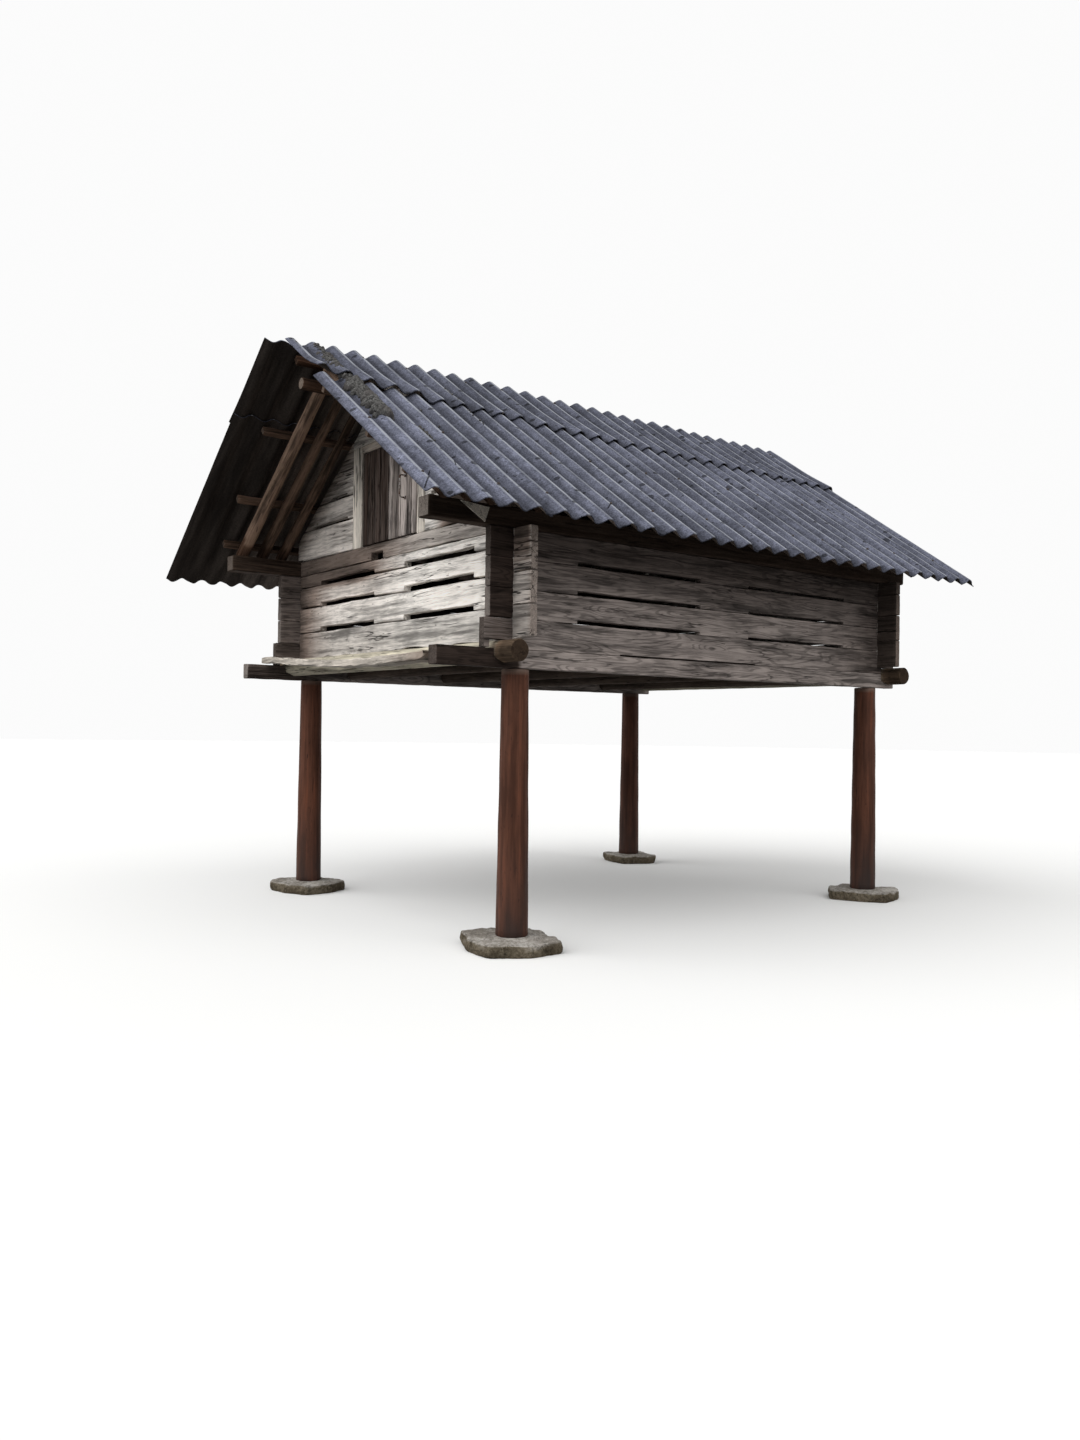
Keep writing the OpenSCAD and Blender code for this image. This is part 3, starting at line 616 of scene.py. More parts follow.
    def mesh(self, name, smooth_angle=38.0):
        mesh = bpy.data.meshes.new(name)
        mesh.from_pydata(np.concatenate(self.points).tolist(), [], self.faces)
        for key, kind, domain, values in (
                ("grain", "FLOAT_VECTOR", "POINT", self.grain),
                ("tone", "FLOAT", "POINT", self.tone),
                ("edge", "FLOAT", "POINT", self.edge),
                ("soak_and_shade", "FLOAT", "POINT", self.soak_and_shade),
                ("cut", "FLOAT", "FACE", [np.array(self.cut)])):
            data = mesh.attributes.new(key, kind, domain).data
            field = "vector" if kind == "FLOAT_VECTOR" else "value"
            data.foreach_set(field, np.concatenate(values).astype(np.float32).ravel())
        mesh.polygons.foreach_set("use_smooth", [True] * len(mesh.polygons))
        mesh.set_sharp_from_angle(angle=math.radians(smooth_angle))
        mesh.update()
        return mesh


def show(name, mesh, finish, replaces=(), body="granary"):
    """Links a finished piece, gives it its finish and body, and hides the parts that it replaces.
    """
    piece = bpy.data.objects.new(name, mesh)
    bpy.context.scene.collection.objects.link(piece)
    if finish is not None:
        mesh.materials.clear()
        mesh.materials.append(finish)
    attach(piece, body)
    if replaces:
        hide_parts(*replaces)
    return piece


def finish_of(name):
    found = bpy.data.materials.get(name)
    if found is None:
        raise RuntimeError("the finish is missing: " + name)
    return found


# Growing pieces with Geometry Nodes

def group_input(tree, name, kind):
    return tree.interface.new_socket(name=name, in_out="INPUT", socket_type=kind)


def new_group(name, inputs):
    """An empty geometry tree with named inputs; gives its Tree, its input node's sockets."""
    group = bpy.data.node_groups.new(name, "GeometryNodeTree")
    group_input(group, "Geometry", "NodeSocketGeometry")
    for key, kind in inputs.items():
        group_input(group, key, "NodeSocket" + kind)
    group.interface.new_socket(name="Geometry", in_out="OUTPUT",
                               socket_type="NodeSocketGeometry")
    start = group.nodes.new("NodeGroupInput")
    return Tree(group), start.outputs


def end_group(t, geometry):
    end = t.tree.nodes.new("NodeGroupOutput")
    t.tree.links.new(geometry, end.inputs[0])


def grow(name, base, group, values):
    """Runs a geometry tree over a base mesh, and gives the result as a plain mesh."""
    carrier = bpy.data.objects.new(name + "_base", base)
    bpy.context.scene.collection.objects.link(carrier)
    modifier = carrier.modifiers.new("grow", "NODES")
    modifier.node_group = group
    for item in group.interface.items_tree:
        if item.in_out == "INPUT" and item.name in values:
            modifier[item.identifier] = values[item.name]
    depsgraph = bpy.context.evaluated_depsgraph_get()
    depsgraph.update()
    mesh = bpy.data.meshes.new_from_object(carrier.evaluated_get(depsgraph),
                                           preserve_all_data_layers=True, depsgraph=depsgraph)
    carrier.modifiers.clear()
    bpy.data.objects.remove(carrier)
    if not len(mesh.polygons):
        raise RuntimeError("nothing grew for " + name)
    mesh.name = name
    return mesh


def corrugate_group():
    """Waves a flat mesh, thickens it and lays it on its slope."""
    t, put = new_group("corrugate", {
        "Pitch": "Float", "Height": "Float", "Thickness": "Float", "Sag": "Float",
        "Seed": "Float", "Ridge Height": "Float", "Slope": "Float", "Turn": "Float",
        "Top": "Material", "Underside": "Material"})
    place = t.add("GeometryNodeInputPosition")
    kept = t.add("GeometryNodeStoreNamedAttribute",
                 {"Geometry": put["Geometry"], "Name": "sheet", "Value": place},
                 data_type="FLOAT_VECTOR", domain="POINT")
    y = t.add("ShaderNodeSeparateXYZ", {0: place}, out=1)
    wave = t.math("COSINE", t.math("DIVIDE", t.math("MULTIPLY", y, 2.0 * math.pi),
                                   put["Pitch"]))
    wave = t.math("MULTIPLY", t.math("SUBTRACT", 1.0, wave),
                  t.math("MULTIPLY", put["Height"], 0.5))
    uneven = t.add("ShaderNodeTexNoise", {"Vector": place, "W": put["Seed"], "Scale": 1.4,
                                          "Detail": 2.0}, noise_dimensions="4D")
    uneven = t.math("MULTIPLY", t.math("SUBTRACT", uneven, 0.5), put["Sag"])
    rise = t.add("ShaderNodeCombineXYZ", {2: t.math("ADD", wave, uneven)})
    waved = t.add("GeometryNodeSetPosition", {"Geometry": kept, "Offset": rise})
    thick = t.add("GeometryNodeExtrudeMesh", {"Mesh": waved, "Offset Scale": put["Thickness"],
                                              "Individual": False}, mode="FACES")
    topped = t.add("GeometryNodeSetMaterial", {"Geometry": thick, "Material": put["Top"]})
    under = t.add("GeometryNodeSetMaterial",
                  {"Geometry": t.add("GeometryNodeFlipFaces", {"Mesh": waved}),
                   "Material": put["Underside"]})
    both = t.tree.nodes.new("GeometryNodeJoinGeometry")
    t.tree.links.new(topped, both.inputs[0])
    t.tree.links.new(under, both.inputs[0])
    closed = t.add("GeometryNodeMergeByDistance", {"Geometry": both.outputs[0],
                                                   "Distance": 0.00005})
    angles = t.add("ShaderNodeCombineXYZ", {1: put["Slope"], 2: put["Turn"]})
    lift = t.add("ShaderNodeCombineXYZ", {2: put["Ridge Height"]})
    laid = t.add("GeometryNodeTransform", {
        "Geometry": closed, "Translation": lift,
        "Rotation": t.add("FunctionNodeEulerToRotation", {0: angles})})
    real = t.add("GeometryNodeRealizeInstances", {"Geometry": laid})
    none = t.add("FunctionNodeInputBool")
    none.node.boolean = False
    end_group(t, t.add("GeometryNodeSetMaterial", {"Geometry": real, "Selection": none,
                                                   "Material": put["Top"]}))
    return t.tree


def scatter_group(name, tuft):
    """Puts a small tuft or a nail head on every point, sized by the point's own attribute."""
    t, put = new_group(name, {"Width": "Float", "Height": "Float", "Roughness": "Float",
                              "Seed": "Int", "Finish": "Material"})
    if tuft:
        seed_shape = t.add("GeometryNodeMeshIcoSphere", {"Radius": 1.0, "Subdivisions": 2})
        high = 0.9
    else:
        seed_shape = t.add("GeometryNodeMeshCone", {
            "Vertices": 10, "Side Segments": 1, "Radius Top": 0.55, "Radius Bottom": 1.0,
            "Depth": 1.0})
        high = 1.0
    size = t.add("GeometryNodeInputNamedAttribute", {"Name": "size"}, data_type="FLOAT")
    facing = t.add("GeometryNodeInputNamedAttribute", {"Name": "facing"},
                   data_type="FLOAT_VECTOR")
    upright = t.add("FunctionNodeAlignRotationToVector", {"Vector": facing}, axis="Z")
    spin = t.add("FunctionNodeRandomValue", {"Min": 0.0, "Max": 6.283, "Seed": put["Seed"]},
                 out=1, data_type="FLOAT")
    spun = t.add("FunctionNodeRotateRotation", {
        0: upright, 1: t.add("FunctionNodeEulerToRotation", {
            0: t.add("ShaderNodeCombineXYZ", {2: spin})})}, rotation_space="LOCAL")
    scale = t.add("ShaderNodeCombineXYZ", {
        0: t.math("MULTIPLY", size, put["Width"]), 1: t.math("MULTIPLY", size, put["Width"]),
        2: t.math("MULTIPLY", size, t.math("MULTIPLY", put["Height"], high))})
    placed = t.add("GeometryNodeInstanceOnPoints", {
        "Points": put["Geometry"], "Instance": seed_shape, "Rotation": spun, "Scale": scale})
    real = t.add("GeometryNodeRealizeInstances", {"Geometry": placed})
    where = t.add("GeometryNodeInputPosition")
    shift = t.vector("SUBTRACT", t.noise(where, 90.0, 2.0, 0.6, out=1), (0.5, 0.5, 0.5))
    rough = t.add("GeometryNodeSetPosition", {"Geometry": real,
                                              "Offset": t.scaled(shift, put["Roughness"])})
    end_group(t, t.add("GeometryNodeSetMaterial", {"Geometry": rough,
                                                   "Material": put["Finish"]}))
    return t.tree


def point_mesh(name, points, sizes, facing):
    mesh = bpy.data.meshes.new(name)
    mesh.from_pydata([tuple(p) for p in points], [], [])
    mesh.attributes.new("size", "FLOAT", "POINT").data.foreach_set(
        "value", np.asarray(sizes, np.float32))
    mesh.attributes.new("facing", "FLOAT_VECTOR", "POINT").data.foreach_set(
        "vector", np.asarray(facing, np.float32).ravel())
    return mesh


# What a user may change

def colour_prop(name, text, value):
    return FloatVectorProperty(name=name, description=text, subtype="COLOR", size=3, min=0.0,
                               max=1.0, default=value)


class GranaryTimber(bpy.types.PropertyGroup):
    """Colours and wear of the timber"""
    gable: colour_prop("Gable", "Weathered planks of the gables", (0.90, 0.855, 0.80))
    side: colour_prop("Side walls", "Planks of the side walls", (0.36, 0.31, 0.285))
    beams: colour_prop("Beams", "Beams on the walls, joists and floor", (0.17, 0.135, 0.11))
    cross: colour_prop("Cross beams", "Round beams across the sills", (0.68, 0.63, 0.50))
    bleached: colour_prop("Bleached", "Loose board and the frame of the hatch",
                          (0.74, 0.68, 0.60))
    hatch: colour_prop("Hatch", "Boards of the hatch", (0.46, 0.405, 0.375))
    pole: colour_prop("Poles", "Rafters and battens", (0.25, 0.168, 0.122))
    post: colour_prop("Posts", "The four posts", (0.105, 0.040, 0.023))
    soak_and_shade: colour_prop("Soaked", "Brown that the rain leaves, over the timber's own colour",
                      (0.36, 0.27, 0.23))
    wear: FloatProperty(name="Wear", description="How far the timber's corners are worn",
                        default=0.006, min=0.001, max=0.012, unit="LENGTH")
    dent: FloatProperty(name="Dents", description="Depth of the axe's dents",
                        default=0.0035, min=0.0, max=0.006, unit="LENGTH")


class GranaryRoof(bpy.types.PropertyGroup):
    """Sizes and colours of the roof"""
    sheet: colour_prop("Sheets", "Weathered top of the sheets", (0.084, 0.089, 0.118))
    underside: colour_prop("Underside", "Underside of the sheets", (0.170, 0.141, 0.124))
    moss: colour_prop("Moss", "Dry moss in the valleys", (0.150, 0.147, 0.142))
    pitch: FloatProperty(name="Wave pitch", description="From one wave to the next",
                         default=WAVE_PITCH, min=0.15, max=0.25, unit="LENGTH")
    wave: FloatProperty(name="Wave height", description="Height of the waves",
                        default=WAVE_HEIGHT, min=0.03, max=0.06, unit="LENGTH")
    thickness: FloatProperty(name="Thickness", description="Thickness of the sheets",
                             default=0.008, min=0.005, max=0.012, unit="LENGTH")
    sag: FloatProperty(name="Sag", description="Unevenness of the sheets",
                       default=0.012, min=0.0, max=0.02, unit="LENGTH")
    lap: FloatProperty(name="Side lap", description="How far a sheet's edge rises over the next",
                       default=0.009, min=0.0, max=0.012, unit="LENGTH")
    tufts: IntProperty(name="Moss tufts", description="Number of tufts of moss",
                       default=520, min=0, max=2000)
    nail: FloatProperty(name="Nail head", description="Radius of the nail heads",
                        default=0.011, min=0.004, max=0.02, unit="LENGTH")


class GranaryStage(bpy.types.PropertyGroup):
    """Floor and light"""
    floor: colour_prop("Floor", "Pale floor", (0.86, 0.86, 0.85))
    sky: FloatProperty(name="Sky", description="Light from all round", default=0.48, min=0.0)
    front: FloatProperty(name="Front light", description="Soft light on the gable",
                         default=2.1, min=0.0)
    side: FloatProperty(name="Side light", description="Soft light on the side wall",
                        default=1.5, min=0.0)


# Stage

class GRANARY_OT_stage(bpy.types.Operator):
    """Makes the floor, the light, the camera and the finishes"""
    bl_idname = "granary.stage"
    bl_label = "Stage and finishes"

    def execute(self, context):
        looks = context.scene.granary_stage
        self.camera(context)
        self.floor(context, looks)
        self.sky(context, looks)
        self.lamp(context, "front_light", (-0.25, -1.0, 0.85), looks.front, 70.0)
        self.lamp(context, "side_light", (1.0, -0.35, 0.95), looks.side, 80.0)
        self.finishes(context.scene.granary_timber, context.scene.granary_roof)
        context.scene.view_settings.view_transform = "Standard"
        return {"FINISHED"}

    def camera(self, context):
        yaw, pitch, roll = (math.radians(a) for a in CAMERA_ANGLES)
        ahead = Vector((-math.sin(yaw), math.cos(yaw), 0.0))
        right = Vector((math.cos(yaw), math.sin(yaw), 0.0))
        up = Vector((0.0, 0.0, 1.0))
        look = ahead * math.cos(pitch) + up * math.sin(pitch)
        above = up * math.cos(pitch) - ahead * math.sin(pitch)
        across = right * math.cos(roll) + above * math.sin(roll)
        above = above * math.cos(roll) - right * math.sin(roll)
        data = bpy.data.cameras.new("camera")
        data.sensor_fit = "AUTO"
        data.sensor_width = 36.0
        data.lens = FOCAL_PIXELS / PICTURE_PIXELS * data.sensor_width
        data.clip_end = 300.0
        camera = bpy.data.objects.new("camera", data)
        turn = Matrix((across, above, -look)).transposed().to_4x4()
        camera.matrix_world = Matrix.Translation(CAMERA_PLACE) @ turn
        context.scene.collection.objects.link(camera)
        context.scene.camera = camera

    def floor(self, context, looks):
        rim = [(90.0 * math.cos(a), 90.0 * math.sin(a), -0.001)
               for a in np.linspace(0.0, 2.0 * math.pi, 72, endpoint=False)]
        mesh = bpy.data.meshes.new("floor")
        mesh.from_pydata(rim, [], [tuple(range(len(rim)))])
        floor = bpy.data.objects.new("floor", mesh)
        context.scene.collection.objects.link(floor)
        material, t, surface = new_finish("pale_floor")
        surface.inputs["Roughness"].default_value = 0.9
        surface.inputs["Specular IOR Level"].default_value = 0.0
        seen = self.seen(t)
        low = tuple(0.24 * c for c in looks.floor)
        t.tree.links.new(t.blend(seen, low, looks.floor), surface.inputs["Base Color"])
        mesh.materials.append(material)

    def seen(self, t):
        """1 where a ray shows the background, 0 where it only lights the granary."""
        rays = t.tree.nodes.new("ShaderNodeLightPath")
        total = t.math("ADD", rays.outputs["Is Camera Ray"], rays.outputs["Is Glossy Ray"])
        total = t.math("ADD", total, rays.outputs["Is Transmission Ray"])
        return t.math("MINIMUM", total, 1.0)

    def sky(self, context, looks):
        world = bpy.data.worlds.new("sky")
        world.use_nodes = True
        world.node_tree.nodes.clear()
        t = Tree(world.node_tree)
        strength = t.ease(self.seen(t), 0.0, 1.0, looks.sky, 0.97)
        glow = t.add("ShaderNodeBackground", {"Color": (1.0, 1.0, 1.0, 1.0),
                                              "Strength": strength})
        end = world.node_tree.nodes.new("ShaderNodeOutputWorld")
        world.node_tree.links.new(glow, end.inputs[0])
        context.scene.world = world

    def lamp(self, context, name, way, power, spread):
        data = bpy.data.lights.new(name, "SUN")
        data.energy = power
        data.angle = math.radians(spread)
        lamp = bpy.data.objects.new(name, data)
        lamp.rotation_mode = "QUATERNION"
        lamp.rotation_quaternion = Vector(way).to_track_quat("Z", "Y")
        context.scene.collection.objects.link(lamp)

    def finishes(self, timber, roof):
        soak_and_shade = tuple(timber.soak_and_shade)

        def shade(colour, share):
            return tuple(share * c for c in colour)
        wood_finish("silver_planks", timber.gable, shade(timber.gable, 0.40),
                    (soak_and_shade[0], 1.1 * soak_and_shade[1], 1.17 * soak_and_shade[2]), figure=0.3,
                    crack=1.0, adze=0.3, contrast=1.1)
        wood_finish("brown_planks", timber.side, shade(timber.side, 0.42),
                    (0.55 * soak_and_shade[0], 0.61 * soak_and_shade[1], 0.65 * soak_and_shade[2]), figure=0.9,
                    crack=0.7, adze=0.3, knots=0.8, contrast=1.15, end=(0.24, 0.21, 0.19))
        wood_finish("beam_timber", timber.beams, shade(timber.beams, 0.4), shade(soak_and_shade, 0.80),
                    figure=0.4, crack=0.7, adze=0.4, end=(0.30, 0.26, 0.23))
        wood_finish("green_beam", timber.cross, shade(timber.cross, 0.45), soak_and_shade, figure=0.3,
                    crack=0.7, adze=0.3, end=(0.10, 0.085, 0.070))
        wood_finish("bleached_boards", timber.bleached, shade(timber.bleached, 0.45), soak_and_shade,
                    figure=0.3, crack=0.9, adze=0.2)
        wood_finish("hatch_boards", timber.hatch, shade(timber.hatch, 0.22),
                    shade(soak_and_shade, 0.42), figure=0.4, crack=1.0, adze=0.1, contrast=1.6)
        wood_finish("peeled_poles", timber.pole, shade(timber.pole, 0.30), shade(soak_and_shade, 0.8),
                    figure=0.2, crack=0.5, adze=0.4, knots=0.9, contrast=1.3,
                    end=(0.30, 0.25, 0.21))
        post_finish("debarked_posts", timber.post, shade(timber.post, 0.42), (0.030, 0.022, 0.020))
        stone_finish("field_stone", (0.45, 0.425, 0.39), (0.19, 0.17, 0.145))
        iron_finish("bare_iron", (0.36, 0.35, 0.34))
        sheet_finish("cement_sheet", roof.sheet)
        sheet_finish("split_sheet", roof.sheet, (
            ((2.47, -2.76, 0.0), (2.81, -2.96, 0.0)),
            ((2.47, -1.18, 0.0), (2.64, -1.34, 0.0)),
            ((2.07, -2.42, 0.0), (2.35, -2.51, 0.0))))
        underside_finish("sheet_underside", roof.underside)
        moss_finish("dry_moss", roof.moss)
        nail_finish("nail_rust")


# Stones and posts

class GRANARY_OT_stones(bpy.types.Operator):
    """Makes the four flat stones under the posts"""
    bl_idname = "granary.stones"
    bl_label = "Stones"

    def execute(self, context):
        shares = np.array([(-0.50, -0.22), (-0.38, -0.44), (0.10, -0.46), (0.42, -0.36),
                           (0.50, 0.05), (0.36, 0.42), (-0.08, 0.40), (-0.44, 0.30)])
        stones = Piece()
        for i, (turn, size) in enumerate(zip((12, -20, 160, 200), (0.88, 1.0, 0.82, 0.88))):
            middle = ((-1.70, 1.70)[i % 2], (-1.845, 2.445)[i // 2])
            self.stone(stones, middle, math.radians(turn), 0.78 * size * shares, 40 + i)
        show("field_stones", stones.mesh("field_stones", 50.0), finish_of("field_stone"),
             ("pad_stones",))
        return {"FINISHED"}

    def stone(self, stones, middle, turn, outline, seed):
        count = 72
        closed = np.vstack([outline, outline[:1]])
        lengths = np.concatenate([[0.0], np.cumsum(np.linalg.norm(np.diff(closed, axis=0),
                                                                 axis=1))])
        at = np.linspace(0.0, lengths[-1], count, endpoint=False)
        rim = np.stack([np.interp(at, lengths, closed[:, k]) for k in (0, 1)], axis=1)
        rim = (np.roll(rim, 1, axis=0) + 2.0 * rim + np.roll(rim, -1, axis=0)) / 4.0
        cos, sin = math.cos(turn), math.sin(turn)
        # Height and reach of each ring, from the foot over the worn edge to the middle
        levels = [(0.0, 0.965), (0.018, 0.99), (0.045, 1.0), (0.070, 0.997), (0.088, 0.985),
                  (0.096, 0.968), (0.0995, 0.93), (0.0998, 0.80), (0.100, 0.6), (0.100, 0.4),
                  (0.100, 0.2)]
        rings = []
        for z, reach in levels:
            ring = rim * reach
            x = middle[0] + ring[:, 0] * cos - ring[:, 1] * sin
            y = middle[1] + ring[:, 0] * sin + ring[:, 1] * cos
            rings.append(np.stack([x, y, np.full(count, z)], axis=1))
        raw = np.stack(rings)
        flat = raw.reshape(-1, 3)
        broad = ripple(flat, seed, (0.26, 0.26, 0.20)).reshape(raw.shape[:2])
        fine = ripple(flat, seed + 50, (0.07, 0.07, 0.05), 14).reshape(raw.shape[:2])
        centre = np.array([middle[0], middle[1], 0.0])
        out = raw - centre
        pull = 1.0 - 0.055 * broad - 0.03 * fine
        raw[..., :2] = centre[:2] + out[..., :2] * pull[..., None]
        off = np.linalg.norm(out[..., :2], axis=-1)
        sink = np.clip((off - 0.13) / 0.12, 0.0, 1.0) * (0.012 * broad + 0.006 * fine)
        raw[..., 2] = np.where(raw[..., 2] > 0.05, raw[..., 2] - sink, raw[..., 2])
        stones.rings(raw, along("xyz"), 0.5, 0.0, 0.0, seed)


class GRANARY_OT_posts(bpy.types.Operator):
    """Makes the four round posts"""
    bl_idname = "granary.posts"
    bl_label = "Posts"

    def execute(self, context):
        rows = (("post_front_left", -1.70, -1.845, 0.60, 1.0),
                ("post_front_right", 1.70, -1.845, 0.55, 0.8),
                ("post_rear_left", -1.70, 2.445, 0.20, 0.8),
                ("post_rear_right", 1.70, 2.445, 0.42, 1.0))
        for i, (node, x, y, tone, damp) in enumerate(rows):
            piece = Piece()
            piece.pole(along("zxy"), (0.1, 2.07), (x, y), (0.1225, 0.1025), 60 + i, step=0.05,
                       count=56, dent=0.0035, tone=tone, lip=0.02,
                       soak_and_shade=lambda p, d=damp: d * np.clip(1.0 - (p[:, 2] - 0.1) / 0.75, 0, 1)
                       ** 0.9)
            show("round_" + node, piece.mesh(node, 50.0), finish_of("debarked_posts"), (node,))
        return {"FINISHED"}


# Floor frame

class GRANARY_OT_floor_frame(bpy.types.Operator):
    """Makes the sills, cross beams, joists, floor boards and the loose board in front"""
    bl_idname = "granary.floor_frame"
    bl_label = "Floor frame"

    def execute(self, context):
        looks = context.scene.granary_timber
        beam = finish_of("beam_timber")
        for side, node in ((-1, "sill_left"), (1, "sill_right")):
            low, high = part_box(node)
            piece = Piece()
            # Past the front wall the sills turn brown; the right-hand sill is darker there, with a
            # dark sawn end, as painted shade of the near corner
            piece.timber(along("yxz"), (low.y, high.y), (low.x, high.x), (low.z, high.z),
                         80 + side, cuts=((-2.12, -1.955, None, 2.14), (2.555, 2.72, None, 2.14)),
                         wear=looks.wear, dent=looks.dent, tone=0.62,
                         soak_and_shade=lambda p: np.where(p[:, 1] > -1.9, 0.0, np.where(
                             p[:, 1] > low.y + 0.003, 1.0 if side < 0 else 1.6,
                             0.0 if side < 0 else 0.9)))
            show("hewn_" + node, piece.mesh(node), finish_of("brown_planks"), (node,))
        piece = Piece()
        for i, y in enumerate((-2.0375, 2.6375)):
            piece.pole(along("xyz"), (-2.015, 2.015), (y, 2.1875), (0.0825, 0.0825), 90 + i,
                       dent=looks.dent, clip=self.seat, tone=0.8 if i == 0 else 0.4, count=32,
                       soak_and_shade=lambda p: np.clip((np.abs(p[:, 0]) - 1.7) * 9.0, 0.1, 1.7))
        show("round_cross_beams", piece.mesh("cross_beams"), finish_of("green_beam"),
             ("cross_beams",))
        piece = Piece()
        for i, y in enumerate((-1.391, -0.264, 0.864, 1.991)):
            piece.pole(along("xyz"), (-1.70, 1.70), (y, 2.161), (0.065, 0.065), 100 + i,
                       dent=looks.dent, clip=self.flat_top, tone=0.35, count=24, soak_and_shade=0.6)
        show("round_joists", piece.mesh("joists"), beam, ("floor_joists",))
        piece = Piece()
        step = 3.48 / 9
        for i in range(9):
            x = -1.74 + i * step
            piece.timber(along("yxz"), (-1.955, 2.555), (x + 0.002, x + step - 0.002),
                         (2.21, 2.27), 110 + i, wear=0.003, dent=0.002, soak_and_shade=0.4, tone=0.4)
        show("split_floor_boards", piece.mesh("floor_boards"), beam, ("floor_boards",))
        self.loose_board()
        return {"FINISHED"}

    def seat(self, points):
        """Flattens the round beam where it lies in the sills."""
        over = (np.abs(points[..., 0]) > 1.70) & (np.abs(points[..., 0]) < 1.81)
        points[..., 2] = np.where(over, np.maximum(points[..., 2], 2.14), points[..., 2])
        return points

    def flat_top(self, points):
        points[..., 2] = np.minimum(points[..., 2], 2.21)
        return points

    def loose_board(self):
        turn = math.radians(-4.4)
        cos, sin = math.cos(turn), math.sin(turn)

        def place(points):
            x, y, z = points.T
            return np.stack([x * cos - y * sin, x * sin + y * cos - 2.371, z], axis=1)

        def bow(u):
            # On top of the left bearer; the right end has slipped down beside the other one
            drop = np.interp(u, (-1.81, -1.5, -0.98, -0.05, 0.75, 1.56, 1.70),
                             (0.015, 0.005, -0.035, -0.088, -0.103, -0.095, -0.085))
            return 0.008 * np.sin(2.2 * u), drop
        board = Piece()
        teeth = np.random.default_rng(7).uniform(0.0, 0.11, 14)

        def torn(w):
            return 1.68 - np.interp(w, np.linspace(2.20, 2.28, 14), teeth)
        board.timber(place, (-1.80, 1.68), (-0.11, 0.11), (2.205, 2.272), 130, step=0.03,
                     wear=0.012, dent=0.010, tone=0.35, bow=bow, ends=(None, torn),
                     soak_and_shade=lambda p: 0.15 + 0.7 * np.clip((p[:, 0] - 0.9) / 0.7, 0.0, 1.0))
        show("warped_board", board.mesh("ledge_board"), finish_of("bleached_boards"),
             ("ledge_board",))


# Walls

